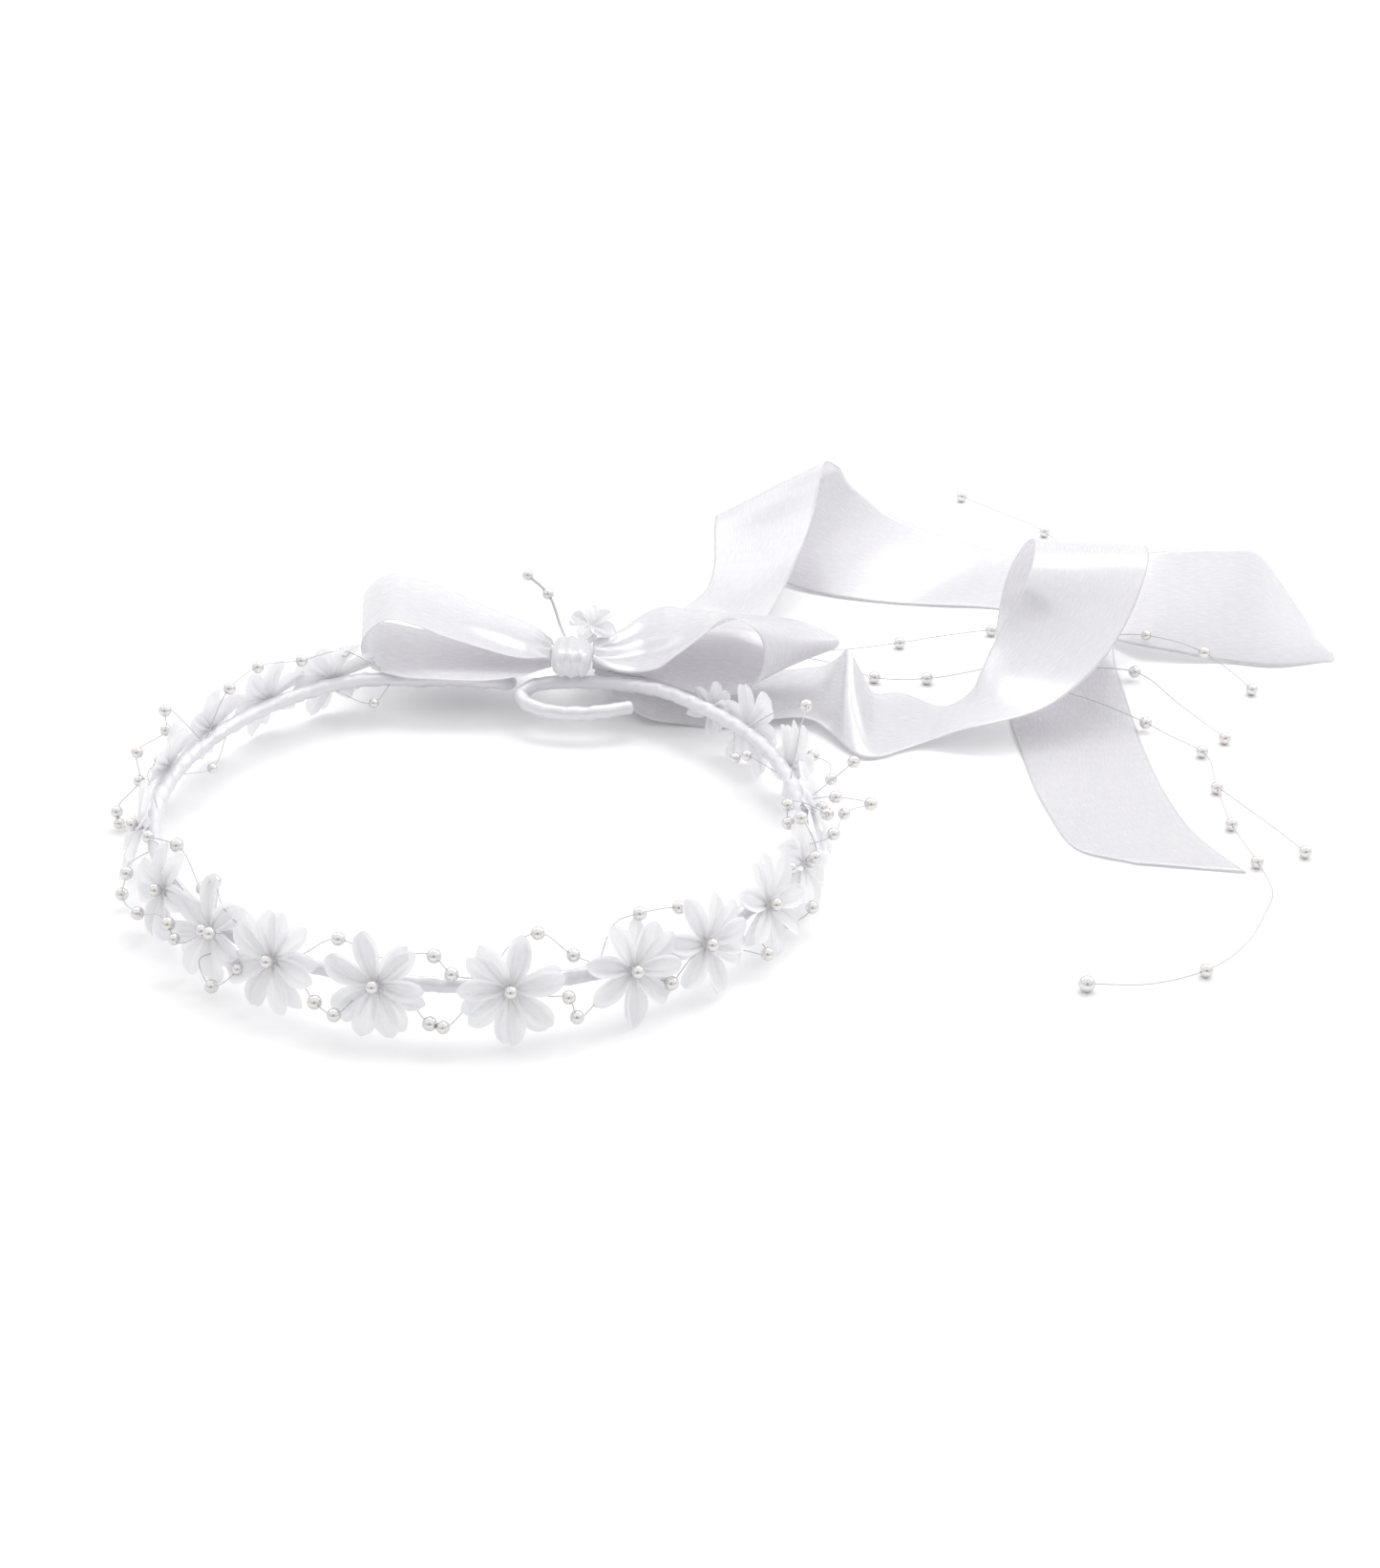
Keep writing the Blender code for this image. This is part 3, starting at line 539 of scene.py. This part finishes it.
# %% Wound ribbon on the hoop
TURN_PITCH = 0.0068
TURN_STEP = 0.00034
TURN_EDGE = 0.92   # share of a turn where the ribbon's edge starts to drop
CORE_INSET = 0.00022
SIDES = 22
one, two = carried_frames(hoop_path)
along = lengths(hoop_path)
verts, uvs, faces = [], [], []
for i, centre in enumerate(hoop_path):
    for k in range(SIDES):
        spin = 2 * math.pi * k / SIDES
        phase = (along[i] / TURN_PITCH + spin / (2 * math.pi)) % 1.0
        left = (1.0 - phase) / (1.0 - TURN_EDGE)
        climb = TURN_STEP * (phase if phase < TURN_EDGE else TURN_EDGE * left)
        slack = 0.00008 * math.sin(along[i] * 900.0 + 3 * spin) * math.sin(along[i] * 310.0)
        reach = WRAP_RADIUS - CORE_INSET + climb + slack
        verts.append(centre + (one[i] * math.cos(spin) + two[i] * math.sin(spin)) * reach)
        uvs.append((phase * 13.0, spin * 2.2 + along[i] * 400.0))
for i in range(len(hoop_path) - 1):
    for k in range(SIDES):
        after = (k + 1) % SIDES
        a = i * SIDES
        faces.append((a + k, a + after, a + SIDES + after, a + SIDES + k))
faces.append(tuple(range(SIDES - 1, -1, -1)))
faces.append(tuple((len(hoop_path) - 1) * SIDES + k for k in range(SIDES)))
wound = add_piece("wound_hoop_ribbon", verts, faces, shaded_wrap_satin, uvs)
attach(wound, "crown")
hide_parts("hoop_wrap")
print("wound hoop has", len(faces), "faces")


# %% [markdown]
# ## Ribbons
# A ribbon bends but does not stretch, so each length is built from straight lines that cross it: a listed
# near-edge point and far-edge point for each line. Smooth curves through both edges give the sheet. Near the
# knot the cloth is gathered, so small pleats die away from it, and soft waves keep the open cloth from
# looking like sheet metal.

# %% Ribbon maker
SATIN_THICKNESS = 0.00018
TABLE_GAP = 0.00035


def ribbon(name, stations, per_span, relief):
    """A ribbon through stations, each the near and the far edge in mm. relief lifts its face."""
    rows = smooth_rows([np.array([*near, *far], float) * MM for near, far in stations], per_span)
    cells = 30
    share = np.linspace(0.0, 1.0, cells + 1)
    grid = rows[:, None, :3] + (rows[:, None, 3:] - rows[:, None, :3]) * share[None, :, None]
    middle = lengths(grid[:, cells // 2])
    normal = np.cross(np.gradient(grid, axis=0), np.gradient(grid, axis=1))
    normal /= np.linalg.norm(normal, axis=2)[:, :, None] + 1e-12
    lift = np.zeros(grid.shape[:2])
    for i in range(len(rows)):
        lift[i] = relief(middle[i], middle[-1], share - 0.5)
    grid = grid + normal * lift[:, :, None]
    grid[:, :, 2] = np.maximum(grid[:, :, 2], TABLE_GAP)
    wide = cells + 1
    uvs = [((s - 0.5) * RIBBON_WIDTH / MM, m / MM) for m in middle for s in share]
    faces = [(i * wide + j, i * wide + j + 1, (i + 1) * wide + j + 1, (i + 1) * wide + j)
             for i in range(len(rows) - 1) for j in range(cells)]
    piece = add_piece(name, grid.reshape(-1, 3), faces, satin, uvs)
    thick = piece.modifiers.new("satin_thickness", "SOLIDIFY")
    thick.thickness = SATIN_THICKNESS
    thick.offset = 0.0
    print(name, "is", round(float(middle[-1]) * 1000), "mm long")
    return piece, float(middle[-1])


def gathers(distance, share, depth, reach, count, offset=0.0):
    """Pleats that die away from the knot."""
    fade = math.exp(-distance / reach)
    return depth * fade * np.cos(2 * math.pi * (count * share + offset))


# %% [markdown]
# ## The bow
# Each loop leaves the knot, turns back on itself and returns under it. Both loops are open
# tubes whose mouths face the front.

# %% Bow loops
LOOP_LEFT = [((15.5, 86, 20.3), (15.5, 100, 19.6)), ((6, 88, 19), (7, 120, 15.5)),
             ((-5, 90, 20.5), (-6, 126, 18)), ((-17, 90, 24.5), (-18, 127, 23)),
             ((-28, 90, 29), (-30, 127, 27.5)), ((-35, 89, 30.5), (-38, 127, 29)),
             ((-41, 88, 27), (-44, 126, 26)), ((-44, 87.5, 21.5), (-47, 125, 20.5)),
             ((-41.5, 85, 16.8), (-44, 122.5, 15.5)), ((-33, 81, 15.6), (-35, 119, 14.4)),
             ((-18, 79, 15.1), (-19, 117, 13.6)), ((-4, 80, 14.9), (-4, 116.5, 13.4)),
             ((7, 83.5, 15), (8, 112, 13.2)), ((15.5, 88, 16.1), (15.5, 101, 15.5))]
LOOP_RIGHT = [((28.5, 85.5, 20), (28.5, 99.5, 20)), ((35.5, 83.5, 17.8), (37.5, 109.5, 19.8)),
              ((43, 82.3, 17.6), (45, 117.5, 22)), ((48.7, 81, 19.6), (51, 117.5, 24)),
              ((54.6, 80, 25), (60, 116.5, 23)), ((62.7, 80, 31.8), (70, 115.5, 23.5)),
              ((70.5, 80, 38.2), (83, 112, 24)), ((76, 80, 37.2), (92, 109.5, 24)),
              ((80.3, 80, 33), (100, 107.5, 22.5)), ((82, 80, 26), (106.5, 105, 19.5)),
              ((80.5, 80, 18.2), (105, 105.5, 15.8)), ((76.5, 80, 13.2), (98.5, 109, 14.6)),
              ((69, 80, 11.4), (87, 112.5, 16.8)), ((60, 80.5, 12.4), (71.5, 116, 17.8)),
              ((52.5, 82, 14), (57, 118.5, 16.6)), ((44, 86, 14.6), (46, 119, 15.2)),
              ((35.5, 88.5, 15), (36, 108.5, 15.2)), ((28.5, 89.5, 15.8), (28.5, 101, 15.6))]


def loop_relief(distance, whole, share):
    near = gathers(distance, share, depth=0.0012, reach=0.011, count=2.6)
    back = gathers(whole - distance, share, depth=0.0007, reach=0.008, count=2.2, offset=0.3)
    wave = 0.00025 * np.sin(distance * 210.0 + share * 4.0) * math.sin(math.pi * distance / whole)
    hollow = math.exp(-(((distance - 0.024) / 0.017) ** 2))
    valley = 0.0021 * hollow * np.exp(-(((share + 0.12) / 0.13) ** 2))
    return near + back + wave - valley


for name, stations in (("bow_loop_left", LOOP_LEFT), ("bow_loop_right", LOOP_RIGHT)):
    loop, run = ribbon(name + "_satin", stations, 10, loop_relief)
    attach(loop, "crown")
    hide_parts(name)

# %% [markdown]
# ## The tails
# The front tail creases, lies flat, then curls over on itself and lies out to its cut end.
# The back tail climbs, folds down and stands on its edge at the far end.

# %% Ribbon tails
TAIL_FRONT = [((30, 92, 11.5), (28, 101, 11.5)), ((37, 85, 7), (36, 109, 7)),
              ((46, 79.5, 3.2), (47, 116.5, 2.4)), ((58, 80, 1), (61, 117.5, 1.2)),
              ((72, 79, 1), (76, 116.5, 1.2)), ((86, 81, 3), (89, 118, 1.8)),
              ((97, 81, 3.4), (102, 116, 4.5)), ((103, 74, 2.8), (106.2, 106.5, 12.5)),
              ((108, 66, 1.6), (109.6, 100, 18.4)), ((112, 61.5, 1), (113, 97.8, 13.6)),
              ((118, 61.5, 0.7), (117.5, 98.5, 4.5)), ((126, 66.5, 1.2), (127, 103, 2)),
              ((134, 69.5, 3), (140, 95, 2)), ((144, 69, 7), (148, 95, 7)), ((157, 70, 10), (152, 99, 13)),
              ((169, 75, 12), (155, 104, 18)), ((180, 83, 16), (158, 107, 24)),
              ((190, 93, 22), (161, 108, 30)), ((197, 103, 29), (164, 110, 37)),
              ((202, 112, 37), (167, 116, 42.5)), ((205, 122, 42.5), (168.5, 126, 44.5)),
              ((205.5, 134, 42), (169, 137, 42)), ((204, 143, 35), (167, 145, 35)),
              ((202, 147, 25), (164, 149, 25)), ((200, 146, 15), (162, 148, 15)),
              ((199, 140, 6.5), (160.5, 141, 6.5)), ((199, 130, 1.5), (160, 130, 1.5)),
              ((199.5, 116, 0.5), (160, 116, 0.5)), ((201, 75, 0.5), (162, 72, 0.5)),
              ((204.5, 40, 0.5), (167, 30, 0.5)), ((210.5, 16, 0.5), (174, 8, 0.5)),
              ((221, -2.5, 0.5), (190, 1, 0.5))]
TAIL_BACK = [((28, 98, 14), (22, 103.5, 13.5)), ((38, 106, 12), (25, 118, 11)),
             ((49, 114, 8.5), (30, 131, 6)), ((58, 121, 5), (38, 145, 2)), ((71, 132, 2), (46, 154, 1)),
             ((82, 149, 2.5), (58, 166, 1.5)), ((89, 160, 9), (64, 172, 5)),
             ((95, 172, 18), (66.5, 183, 9.5)), ((100, 187, 27), (66.5, 194, 13.5)),
             ((102.5, 199, 35), (66.5, 201.5, 17)), ((104.5, 206, 39), (67.5, 206, 18)),
             ((109, 207.5, 36.5), (71, 205, 14.5)), ((112, 206, 32.5), (76, 199, 9)),
             ((117, 205, 28), (87, 189, 2.5)), ((126, 206, 20.5), (103, 180, 0.6)),
             ((142, 206, 13.5), (120, 175, 0.5)), ((157, 208, 8), (142, 172.5, 0.5)),
             ((170, 206, 5.5), (163, 171.5, 0.5)), ((186, 198, 8), (180, 165, 0.8)),
             ((200, 182, 16), (194, 152, 1.5)), ((211, 170, 23), (207, 138, 4)),
             ((223, 163, 28), (221, 134.5, 3)), ((237, 160, 30), (236, 133.5, 0.8)),
             ((247, 157, 30), (250, 131.5, 0.5)), ((255, 152, 22), (259, 133, 0.5)),
             ((264, 144, 11), (267, 135.5, 0.5)), ((272, 139.5, 2.5), (273, 137, 0.5))]


def tail_relief(distance, whole, share):
    near = gathers(distance, share, depth=0.0009, reach=0.012, count=2.4)
    wave = 0.00022 * np.sin(distance * 160.0 + share * 5.0) * min(1.0, distance / 0.05)
    return near + wave


for name, stations in (("ribbon_tail_front", TAIL_FRONT), ("ribbon_tail_back", TAIL_BACK)):
    tail, run = ribbon(name + "_satin", stations, 8, tail_relief)
    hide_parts(name)
    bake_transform(tail)


# %% [markdown]
# ## The knot
# The knot is a short length of the same ribbon pulled round the middle of the bow. Its folds
# run from front to back over the top, so the surface is grooved along its width.

# %% Knot
KNOT_SQUARENESS = 3.4   # 2 would be an ellipsoid
KNOT_CENTRE = np.array([0.022, 0.0895, 0.0191])
KNOT_HALF = np.array([0.0062, 0.0079, 0.0048])


def knot_mesh(centre, half):
    verts, uvs, faces = [], [], []
    rings, sides = 36, 56
    for i in range(rings + 1):
        tip = math.pi * (i / rings - 0.5) * 0.98
        for k in range(sides):
            spin = 2 * math.pi * k / sides
            ray = np.array([math.sin(tip), math.cos(tip) * math.cos(spin), math.cos(tip) * math.sin(spin)])
            bulge = sum(abs(part) ** KNOT_SQUARENESS for part in ray) ** (-1 / KNOT_SQUARENESS)
            fold = 1.0 + 0.055 * math.cos(ray[0] * bulge * 11.0 + 0.6 * math.sin(spin)) * math.cos(tip)
            crease = 1.0 + 0.03 * math.sin(ray[0] * bulge * 27.0 + 1.3 * math.cos(spin * 2))
            verts.append(centre + ray * bulge * half * np.array([1.0, fold * crease, fold * crease]))
            uvs.append((ray[0] * 15.0, spin * 6.0))
    for i in range(rings):
        for k in range(sides):
            after = (k + 1) % sides
            faces.append((i * sides + k, (i + 1) * sides + k, (i + 1) * sides + after, i * sides + after))
    faces.append(tuple(range(sides)))
    faces.append(tuple(rings * sides + k for k in range(sides - 1, -1, -1)))
    return verts, faces, uvs


verts, faces, uvs = knot_mesh(KNOT_CENTRE, KNOT_HALF)
knot = add_piece("bow_knot_satin", verts, faces, satin, uvs)
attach(knot, "crown")
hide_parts("bow_knot")
print("knot has", len(faces), "faces")


# %% [markdown]
# ## The flowers
# Each flower is two stacked layers of slender petals, stamped from starched cloth. Every
# petal is a small grid: narrow at the base, widest past the middle, rounded at the tip. It is
# hollowed along its length between two raised ribs, and no two are bent quite alike.

# %% Petal and flower makers
SWELL_TO = 0.64     # share of a petal's length over which it widens
ROUND_FROM = 0.60   # and from which its tip closes
PETAL_CLOTH = 14.0  # mm of cloth along a petal
FLOOR_GAP = 0.0003


def petal_grid(length, wide, chance, cup, rise, droop):
    steps, cells = 13, 8
    bend = chance.uniform(-0.12, 0.12)
    twist = chance.uniform(-0.35, 0.35)
    verts, uvs = [], []
    for i in range(steps + 1):
        s = i / steps
        swell = 0.30 + 0.70 * math.sin(math.pi / 2 * min(1.0, s / SWELL_TO)) ** 1.6
        close = max(0.0, 1.0 - (max(0.0, s - ROUND_FROM) / 0.402) ** 2.3) ** 0.56
        half = wide / 2 * swell * close + 0.00012
        for j in range(cells + 1):
            t = 2 * j / cells - 1
            press = 0.00052 * math.cos(2.1 * math.pi * t) * math.sin(math.pi * min(1.0, s * 1.04)) ** 0.7
            side = t * half + bend * length * s * s
            height = rise * s - droop * s**2.2 + cup * t * t * half / wide + press + twist * t * half * s
            verts.append((side, length * s, height))
            uvs.append((t * 3.0, s * PETAL_CLOTH))
    faces = []
    row = cells + 1
    for i in range(steps):
        for j in range(cells):
            a = i * row + j
            faces.append((a, a + 1, a + row + 1, a + row))
    return verts, faces, uvs


def flower_mesh(name, centre, normal, upward, reach, seed, front=7, back=6, plump=1.0):
    """Two layers of petals that face along normal. plump widens them."""
    chance = random.Random(seed)
    across = np.cross(normal, upward)
    verts, faces, uvs = [], [], []
    for count, share, lift, turned in ((back, 1.0, 0.0003, 0.5), (front, 0.97, 0.0008, 0.0)):
        start = chance.uniform(0, 2 * math.pi)
        for petal in range(count):
            spin = start + 2 * math.pi * (petal + turned + chance.uniform(-0.12, 0.12)) / count
            size = reach * share * chance.uniform(0.93, 1.04)
            wide = size * chance.uniform(0.41, 0.47) * plump
            droop = chance.uniform(0.0006, 0.0034)
            grid, shell, flat = petal_grid(size, wide, chance, 0.0016, 0.0022 + lift, droop)
            base = len(verts)
            for x, y, z in grid:
                side = x * math.cos(spin) + y * math.sin(spin)
                up = y * math.cos(spin) - x * math.sin(spin)
                point = centre + across * side + upward * up + normal * (z + lift)
                point[2] = max(point[2], FLOOR_GAP)
                verts.append(point)
            uvs += flat
            faces += [tuple(base + v for v in face) for face in shell]
    return add_piece(name, verts, faces, petal_cloth, uvs)


# %% Flowers round the hoop
# each flower is an angle round the hoop and a share of the full size
FLOWERS = [(-134, 1), (-120, 1), (-102, 1), (-81, 1), (-61, 1), (-47, 1), (-31, 1), (-16, 1), (2, 1),
           (20, 1), (36, 1), (46.5, 0.6), (123, 1), (137, 1), (152, 1), (167, 1), (189, 1), (211, 1)]
FLOWER_REACH = 0.0146
TILT = math.radians(20.0)
BACK_TILT = math.radians(-8.0)   # for those beside the bow on the right
HEART_OUT = 0.0037
HEART_WIDE = 0.0038
FIRST_SEED = 40
for index, (angle, share) in enumerate(FLOWERS):
    out = np.array([math.cos(math.radians(angle)), math.sin(math.radians(angle)), 0.0])
    tilt = BACK_TILT if 15 < angle < 60 else TILT
    normal = out * math.cos(tilt) + np.array([0.0, 0.0, math.sin(tilt)])
    upward = -out * math.sin(tilt) + np.array([0.0, 0.0, math.cos(tilt)])
    on_hoop = round_point(angle, HOOP_RADIUS / MM, HOOP_HEIGHT)
    centre = on_hoop + normal * (WRAP_RADIUS + 0.0003) - upward * 0.0009
    name = "flower_%02d" % (index + 1)
    bloom = flower_mesh(name + "_petals", centre, normal, upward, FLOWER_REACH * share, FIRST_SEED + index)
    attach(bloom, "crown")
    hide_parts(name)
    heart = bead_string(name + "_heart", [(centre + normal * HEART_OUT, upward, HEART_WIDE)])
    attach(heart, "crown")
    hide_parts("flower_bead_%02d" % (index + 1))
print(len(FLOWERS), "flowers made")

# %% Floret and twig behind the knot
face_up = np.array([-0.05, -0.35, 0.93])
face_up /= np.linalg.norm(face_up)
lean = -np.cross(face_up, np.array([1.0, 0.0, 0.0]))
lean /= np.linalg.norm(lean)
floret_centre = np.array([0.0278, 0.1044, 0.0222])
floret = flower_mesh("floret_petals", floret_centre, face_up, lean, reach=0.0080, seed=7,
                     front=5, back=4, plump=1.75)
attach(floret, "crown")
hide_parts("floret_behind_knot")
stem_points = np.array([(25.5, 98.9, 20), (27.5, 103, 20.2), (28.2, 105.4, 22.1)]) * MM
stem = thread_curve("floret_stem_thread", smooth_rows(stem_points, 6), 0.0007)
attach(stem, "crown")
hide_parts("floret_stem")
twig_points = np.array([(20, 98.8, 20.4), (18, 104, 22), (13.5, 110, 31), (7, 113, 36)]) * MM
twig_path, twig_beads = strung(twig_points, (0, 0, 3.6, 3.6), STEPS_PER_SPAN)
twig = thread_curve("twig_thread", twig_path, 0.0010)
twig_pearls = bead_string("twig_beads", twig_beads)
for piece, kind in ((twig, "beaded_thread"), (twig_pearls, "pearl_bead")):
    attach(piece, "crown")
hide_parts("twig_behind_knot")
print("floret and twig made")

# %% [markdown]
# ## The bead sprays
# Beads are threaded on clear nylon that loops in and out along the hoop. Each loop starts and
# ends at the hoop and arches over or under the flowers. A point is an angle round the hoop,
# a radius, a height and a bead width, all in millimetres but the angle.

# %% Bead sprays
SPRAYS = {
    "spray_upper_front": [
        [(-116, 91.4, 16, 0), (-109, 91.5, 23.8, 3.6), (-102, 91, 20, 0), (-93, 91, 22, 3.8),
         (-90, 94.3, 18.8, 3.6), (-84, 92, 16.1, 0)],
        [(-84, 91.4, 16, 0), (-80, 91, 26, 0), (-76, 90, 27.4, 3.6), (-70.3, 91.5, 20.2, 3.6),
         (-66, 92, 16.1, 0)],
        [(-66, 91.4, 16, 0), (-62, 90, 27, 0), (-58, 90, 27.3, 3.6), (-50, 90, 24.9, 3.6),
         (-42, 92, 16.1, 0)],
        [(-160, 90.4, 15, 0), (-150, 93.5, 19, 3.8), (-146, 92, 16.2, 0)],
        [(-163, 91.5, 16, 0), (-155, 96, 26.2, 3.4), (-151, 90, 25.5, 3.8), (-141, 90, 19.9, 3.6),
         (-137, 90, 25, 4.0), (-131, 94, 22, 0), (-126, 92, 16.1, 0)]],
    "spray_lower_front": [
        [(-127, 94, 12, 0), (-125.5, 99, 10, 3.2), (-129, 103, 4, 3.6), (-133, 101, 8, 0),
         (-127, 93, 12, 0)],
        [(-127, 92, 11.9, 0), (-119, 92.5, 10, 0), (-113.5, 97, 10, 0), (-110.6, 101, 9.4, 3.8),
         (-107, 103, 8.2, 3.6), (-105, 97, 10, 0), (-102, 92.5, 10, 0), (-96, 96, 9.5, 0),
         (-93, 101, 7.8, 3.8), (-91, 102, 7.5, 3.4), (-87.5, 96, 9.5, 0), (-81, 92.5, 10, 0),
         (-74.5, 96, 11.5, 0), (-72.3, 99, 12.5, 3.6), (-71.5, 102, 8.1, 3.6), (-67, 97, 9, 0),
         (-61, 92.5, 10, 0), (-57, 96, 10, 0), (-55.3, 99, 9.2, 3.8), (-52.5, 96, 9, 0), (-47, 92.5, 10, 0),
         (-40, 97, 8, 0), (-36.5, 102, 5.8, 3.6), (-34.5, 96, 8, 0), (-30.5, 92.5, 9, 0), (-27.5, 95, 6, 0),
         (-25.8, 98, 4.6, 3.4), (-22, 102, 7.1, 3.6), (-19, 93, 11.9, 0)]],
    "spray_lower_left": [
        [(-166, 92, 11.9, 0), (-160, 101, 13, 0), (-157, 102, 14, 3.6), (-160, 103, 4.4, 3.6),
         (-150, 103, 8.4, 3.6), (-140, 102, 14, 3.8), (-138, 102.5, 11.2, 3.2), (-130.7, 100, 17.8, 3.4),
         (-127, 92, 16.1, 0)],
        [(-172, 92, 11.9, 0), (179, 102, 4.5, 3.2), (176, 106, 2.4, 3.2), (175, 107, 5.2, 3.4),
         (171, 102, 11.9, 3.4), (171, 102, 21.4, 3.4), (165, 97, 24, 3.4), (166, 96, 31.5, 3.6),
         (158, 92, 16.1, 0)]],
    "spray_upper_left": [
        [(-176, 91.5, 16, 0), (172, 98, 17, 0), (168, 98, 14.5, 3.2), (168, 98.5, 10.4, 3.2),
         (163, 93, 12, 0)],
        [(168, 90, 13, 0), (161, 86.2, 10, 3.0), (152, 90, 13, 0)],
        [(157, 91.4, 16, 0), (150, 90, 28, 3.6), (142, 90, 30.1, 3.6), (131, 91, 26, 3.6),
         (121, 93, 24, 3.4), (114, 92, 16.1, 0)],
        [(124, 90, 12.6, 0), (117, 86, 7.8, 3.0), (112, 90, 12.6, 0)]],
    "spray_upper_right": [
        [(-28, 91.5, 16, 0), (-23, 96, 19, 3.4), (-20, 101, 21, 3.4), (-17, 95, 29.5, 3.6),
         (-13, 90, 23.4, 3.6), (-11, 89, 27.4, 3.6), (-5, 99.5, 20, 3.6), (1, 92, 16.1, 0)],
        [(12, 91.4, 16, 0), (18, 97, 28, 0), (23, 102, 29.4, 3.8), (29, 97, 23, 0), (33, 92, 16.1, 0)],
        [(18, 90.2, 13, 0), (24, 84, 15.2, 3.2), (29, 84, 10.7, 3.2), (36, 90.4, 12.6, 0)]],
    "spray_lower_right": [
        [(-14, 92, 16.1, 0), (-9, 102, 17.8, 3.6), (-4, 104.2, 19.5, 3.4), (2.5, 112.3, 16, 3.8),
         (-3, 101.5, 23.8, 3.6), (4, 93, 16, 0)],
        [(2, 92, 16.1, 0), (7, 108, 25.2, 3.6), (8, 102, 18.7, 3.4), (14, 104, 18, 0), (19, 102, 16.1, 3.4),
         (22, 102, 14.6, 3.2), (25, 102, 11.2, 3.2), (22, 102, 6.9, 3.4), (28, 93, 11.9, 0)]]}
SPRAY_WIDE = 0.00032
SPRAY_GAP = 0.0006   # between a spray and the table
for name, chains in SPRAYS.items():
    all_beads, total = [], 0.0
    for number, chain in enumerate(chains):
        points = [round_point(angle, out, up) for angle, out, up, wide in chain]
        path, spots = strung(points, [mark[3] for mark in chain], STEPS_PER_SPAN)
        path[:, 2] = np.maximum(path[:, 2], SPRAY_GAP)
        all_beads += spots
        total += float(lengths(path)[-1])
        string = thread_curve("%s_thread_%d" % (name, number + 1), path, SPRAY_WIDE)
        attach(string, "crown")
        if number == 0:
            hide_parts(name)
    pearls = bead_string(name + "_beads", all_beads)
    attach(pearls, "crown")
    print(name, "has", len(all_beads), "beads on", round(total * 1000), "mm of thread")

# %% [markdown]
# ## Floor and light
# The crown lies on a white sweep. The room is bright above and behind it, and has a dark gap
# toward the camera, which puts the dark centres in the beads. Three soft lamps above and
# behind draw the streaks along the satin.

# %% Floor
paper = Finish("white_paper")
grain = paper.cloud(paper.object_place(), 700.0, 2.0)
paper.set(colour=(0.93, 0.93, 0.935), roughness=0.85 + grain * 0.1, shine=0.1)
floor = add_piece("floor", [(-9, -3, 0), (9, -3, 0), (9, 26, 0), (-9, 26, 0)], [(0, 1, 2, 3)], paper.material)

# %% World
world = bpy.data.worlds.new("studio")
bpy.context.scene.world = world
world.use_nodes = True
sky = Network(world.node_tree)
depth, height = sky.split(sky.node("ShaderNodeTexCoord"))[1:]
toward_lens = height * 0.485 - depth * 0.875
gap_in_softbox = height.maths("MAXIMUM", toward_lens - 0.93, 0.0) * 9.0
bright = height * 0.50 + depth * 0.26 + 0.66 - gap_in_softbox
DIM = (0.12, 0.12, 0.135)
WHITE = (1.0, 1.0, 1.0)
glow = sky.node("ShaderNodeValToRGB", {"stops": [(0.10, DIM), (0.90, WHITE)]}, Fac=bright)
back = sky.tree.nodes["Background"]
sky.feed(back.inputs["Color"], glow)
sky.feed(back.inputs["Strength"], 1.05)


# %% Lamps
def soft_lamp(name, place, aim, size, power):
    """A rectangular lamp at a place, turned to its aim."""
    light = bpy.data.lights.new(name, "AREA")
    light.shape = "RECTANGLE"
    light.size = size[0]
    light.size_y = size[1]
    light.energy = power
    lamp = bpy.data.objects.new(name, light)
    bpy.context.scene.collection.objects.link(lamp)
    lamp.location = place
    lamp.rotation_euler = (Vector(aim) - Vector(place)).to_track_quat("-Z", "Y").to_euler()


soft_lamp("overhead", (0.16, 0.62, 1.05), (0.10, 0.08, 0.0), (0.8, 0.5), 4.0)
soft_lamp("back_left", (-0.8, 0.7, 0.9), (0.06, 0.05, 0.0), (0.6, 0.6), 1.3)
soft_lamp("back_right", (1.0, 0.5, 0.8), (0.10, 0.08, 0.0), (0.5, 0.5), 3.0)
bpy.context.scene.view_settings.view_transform = "Standard"
print("floor, world and lamps set")
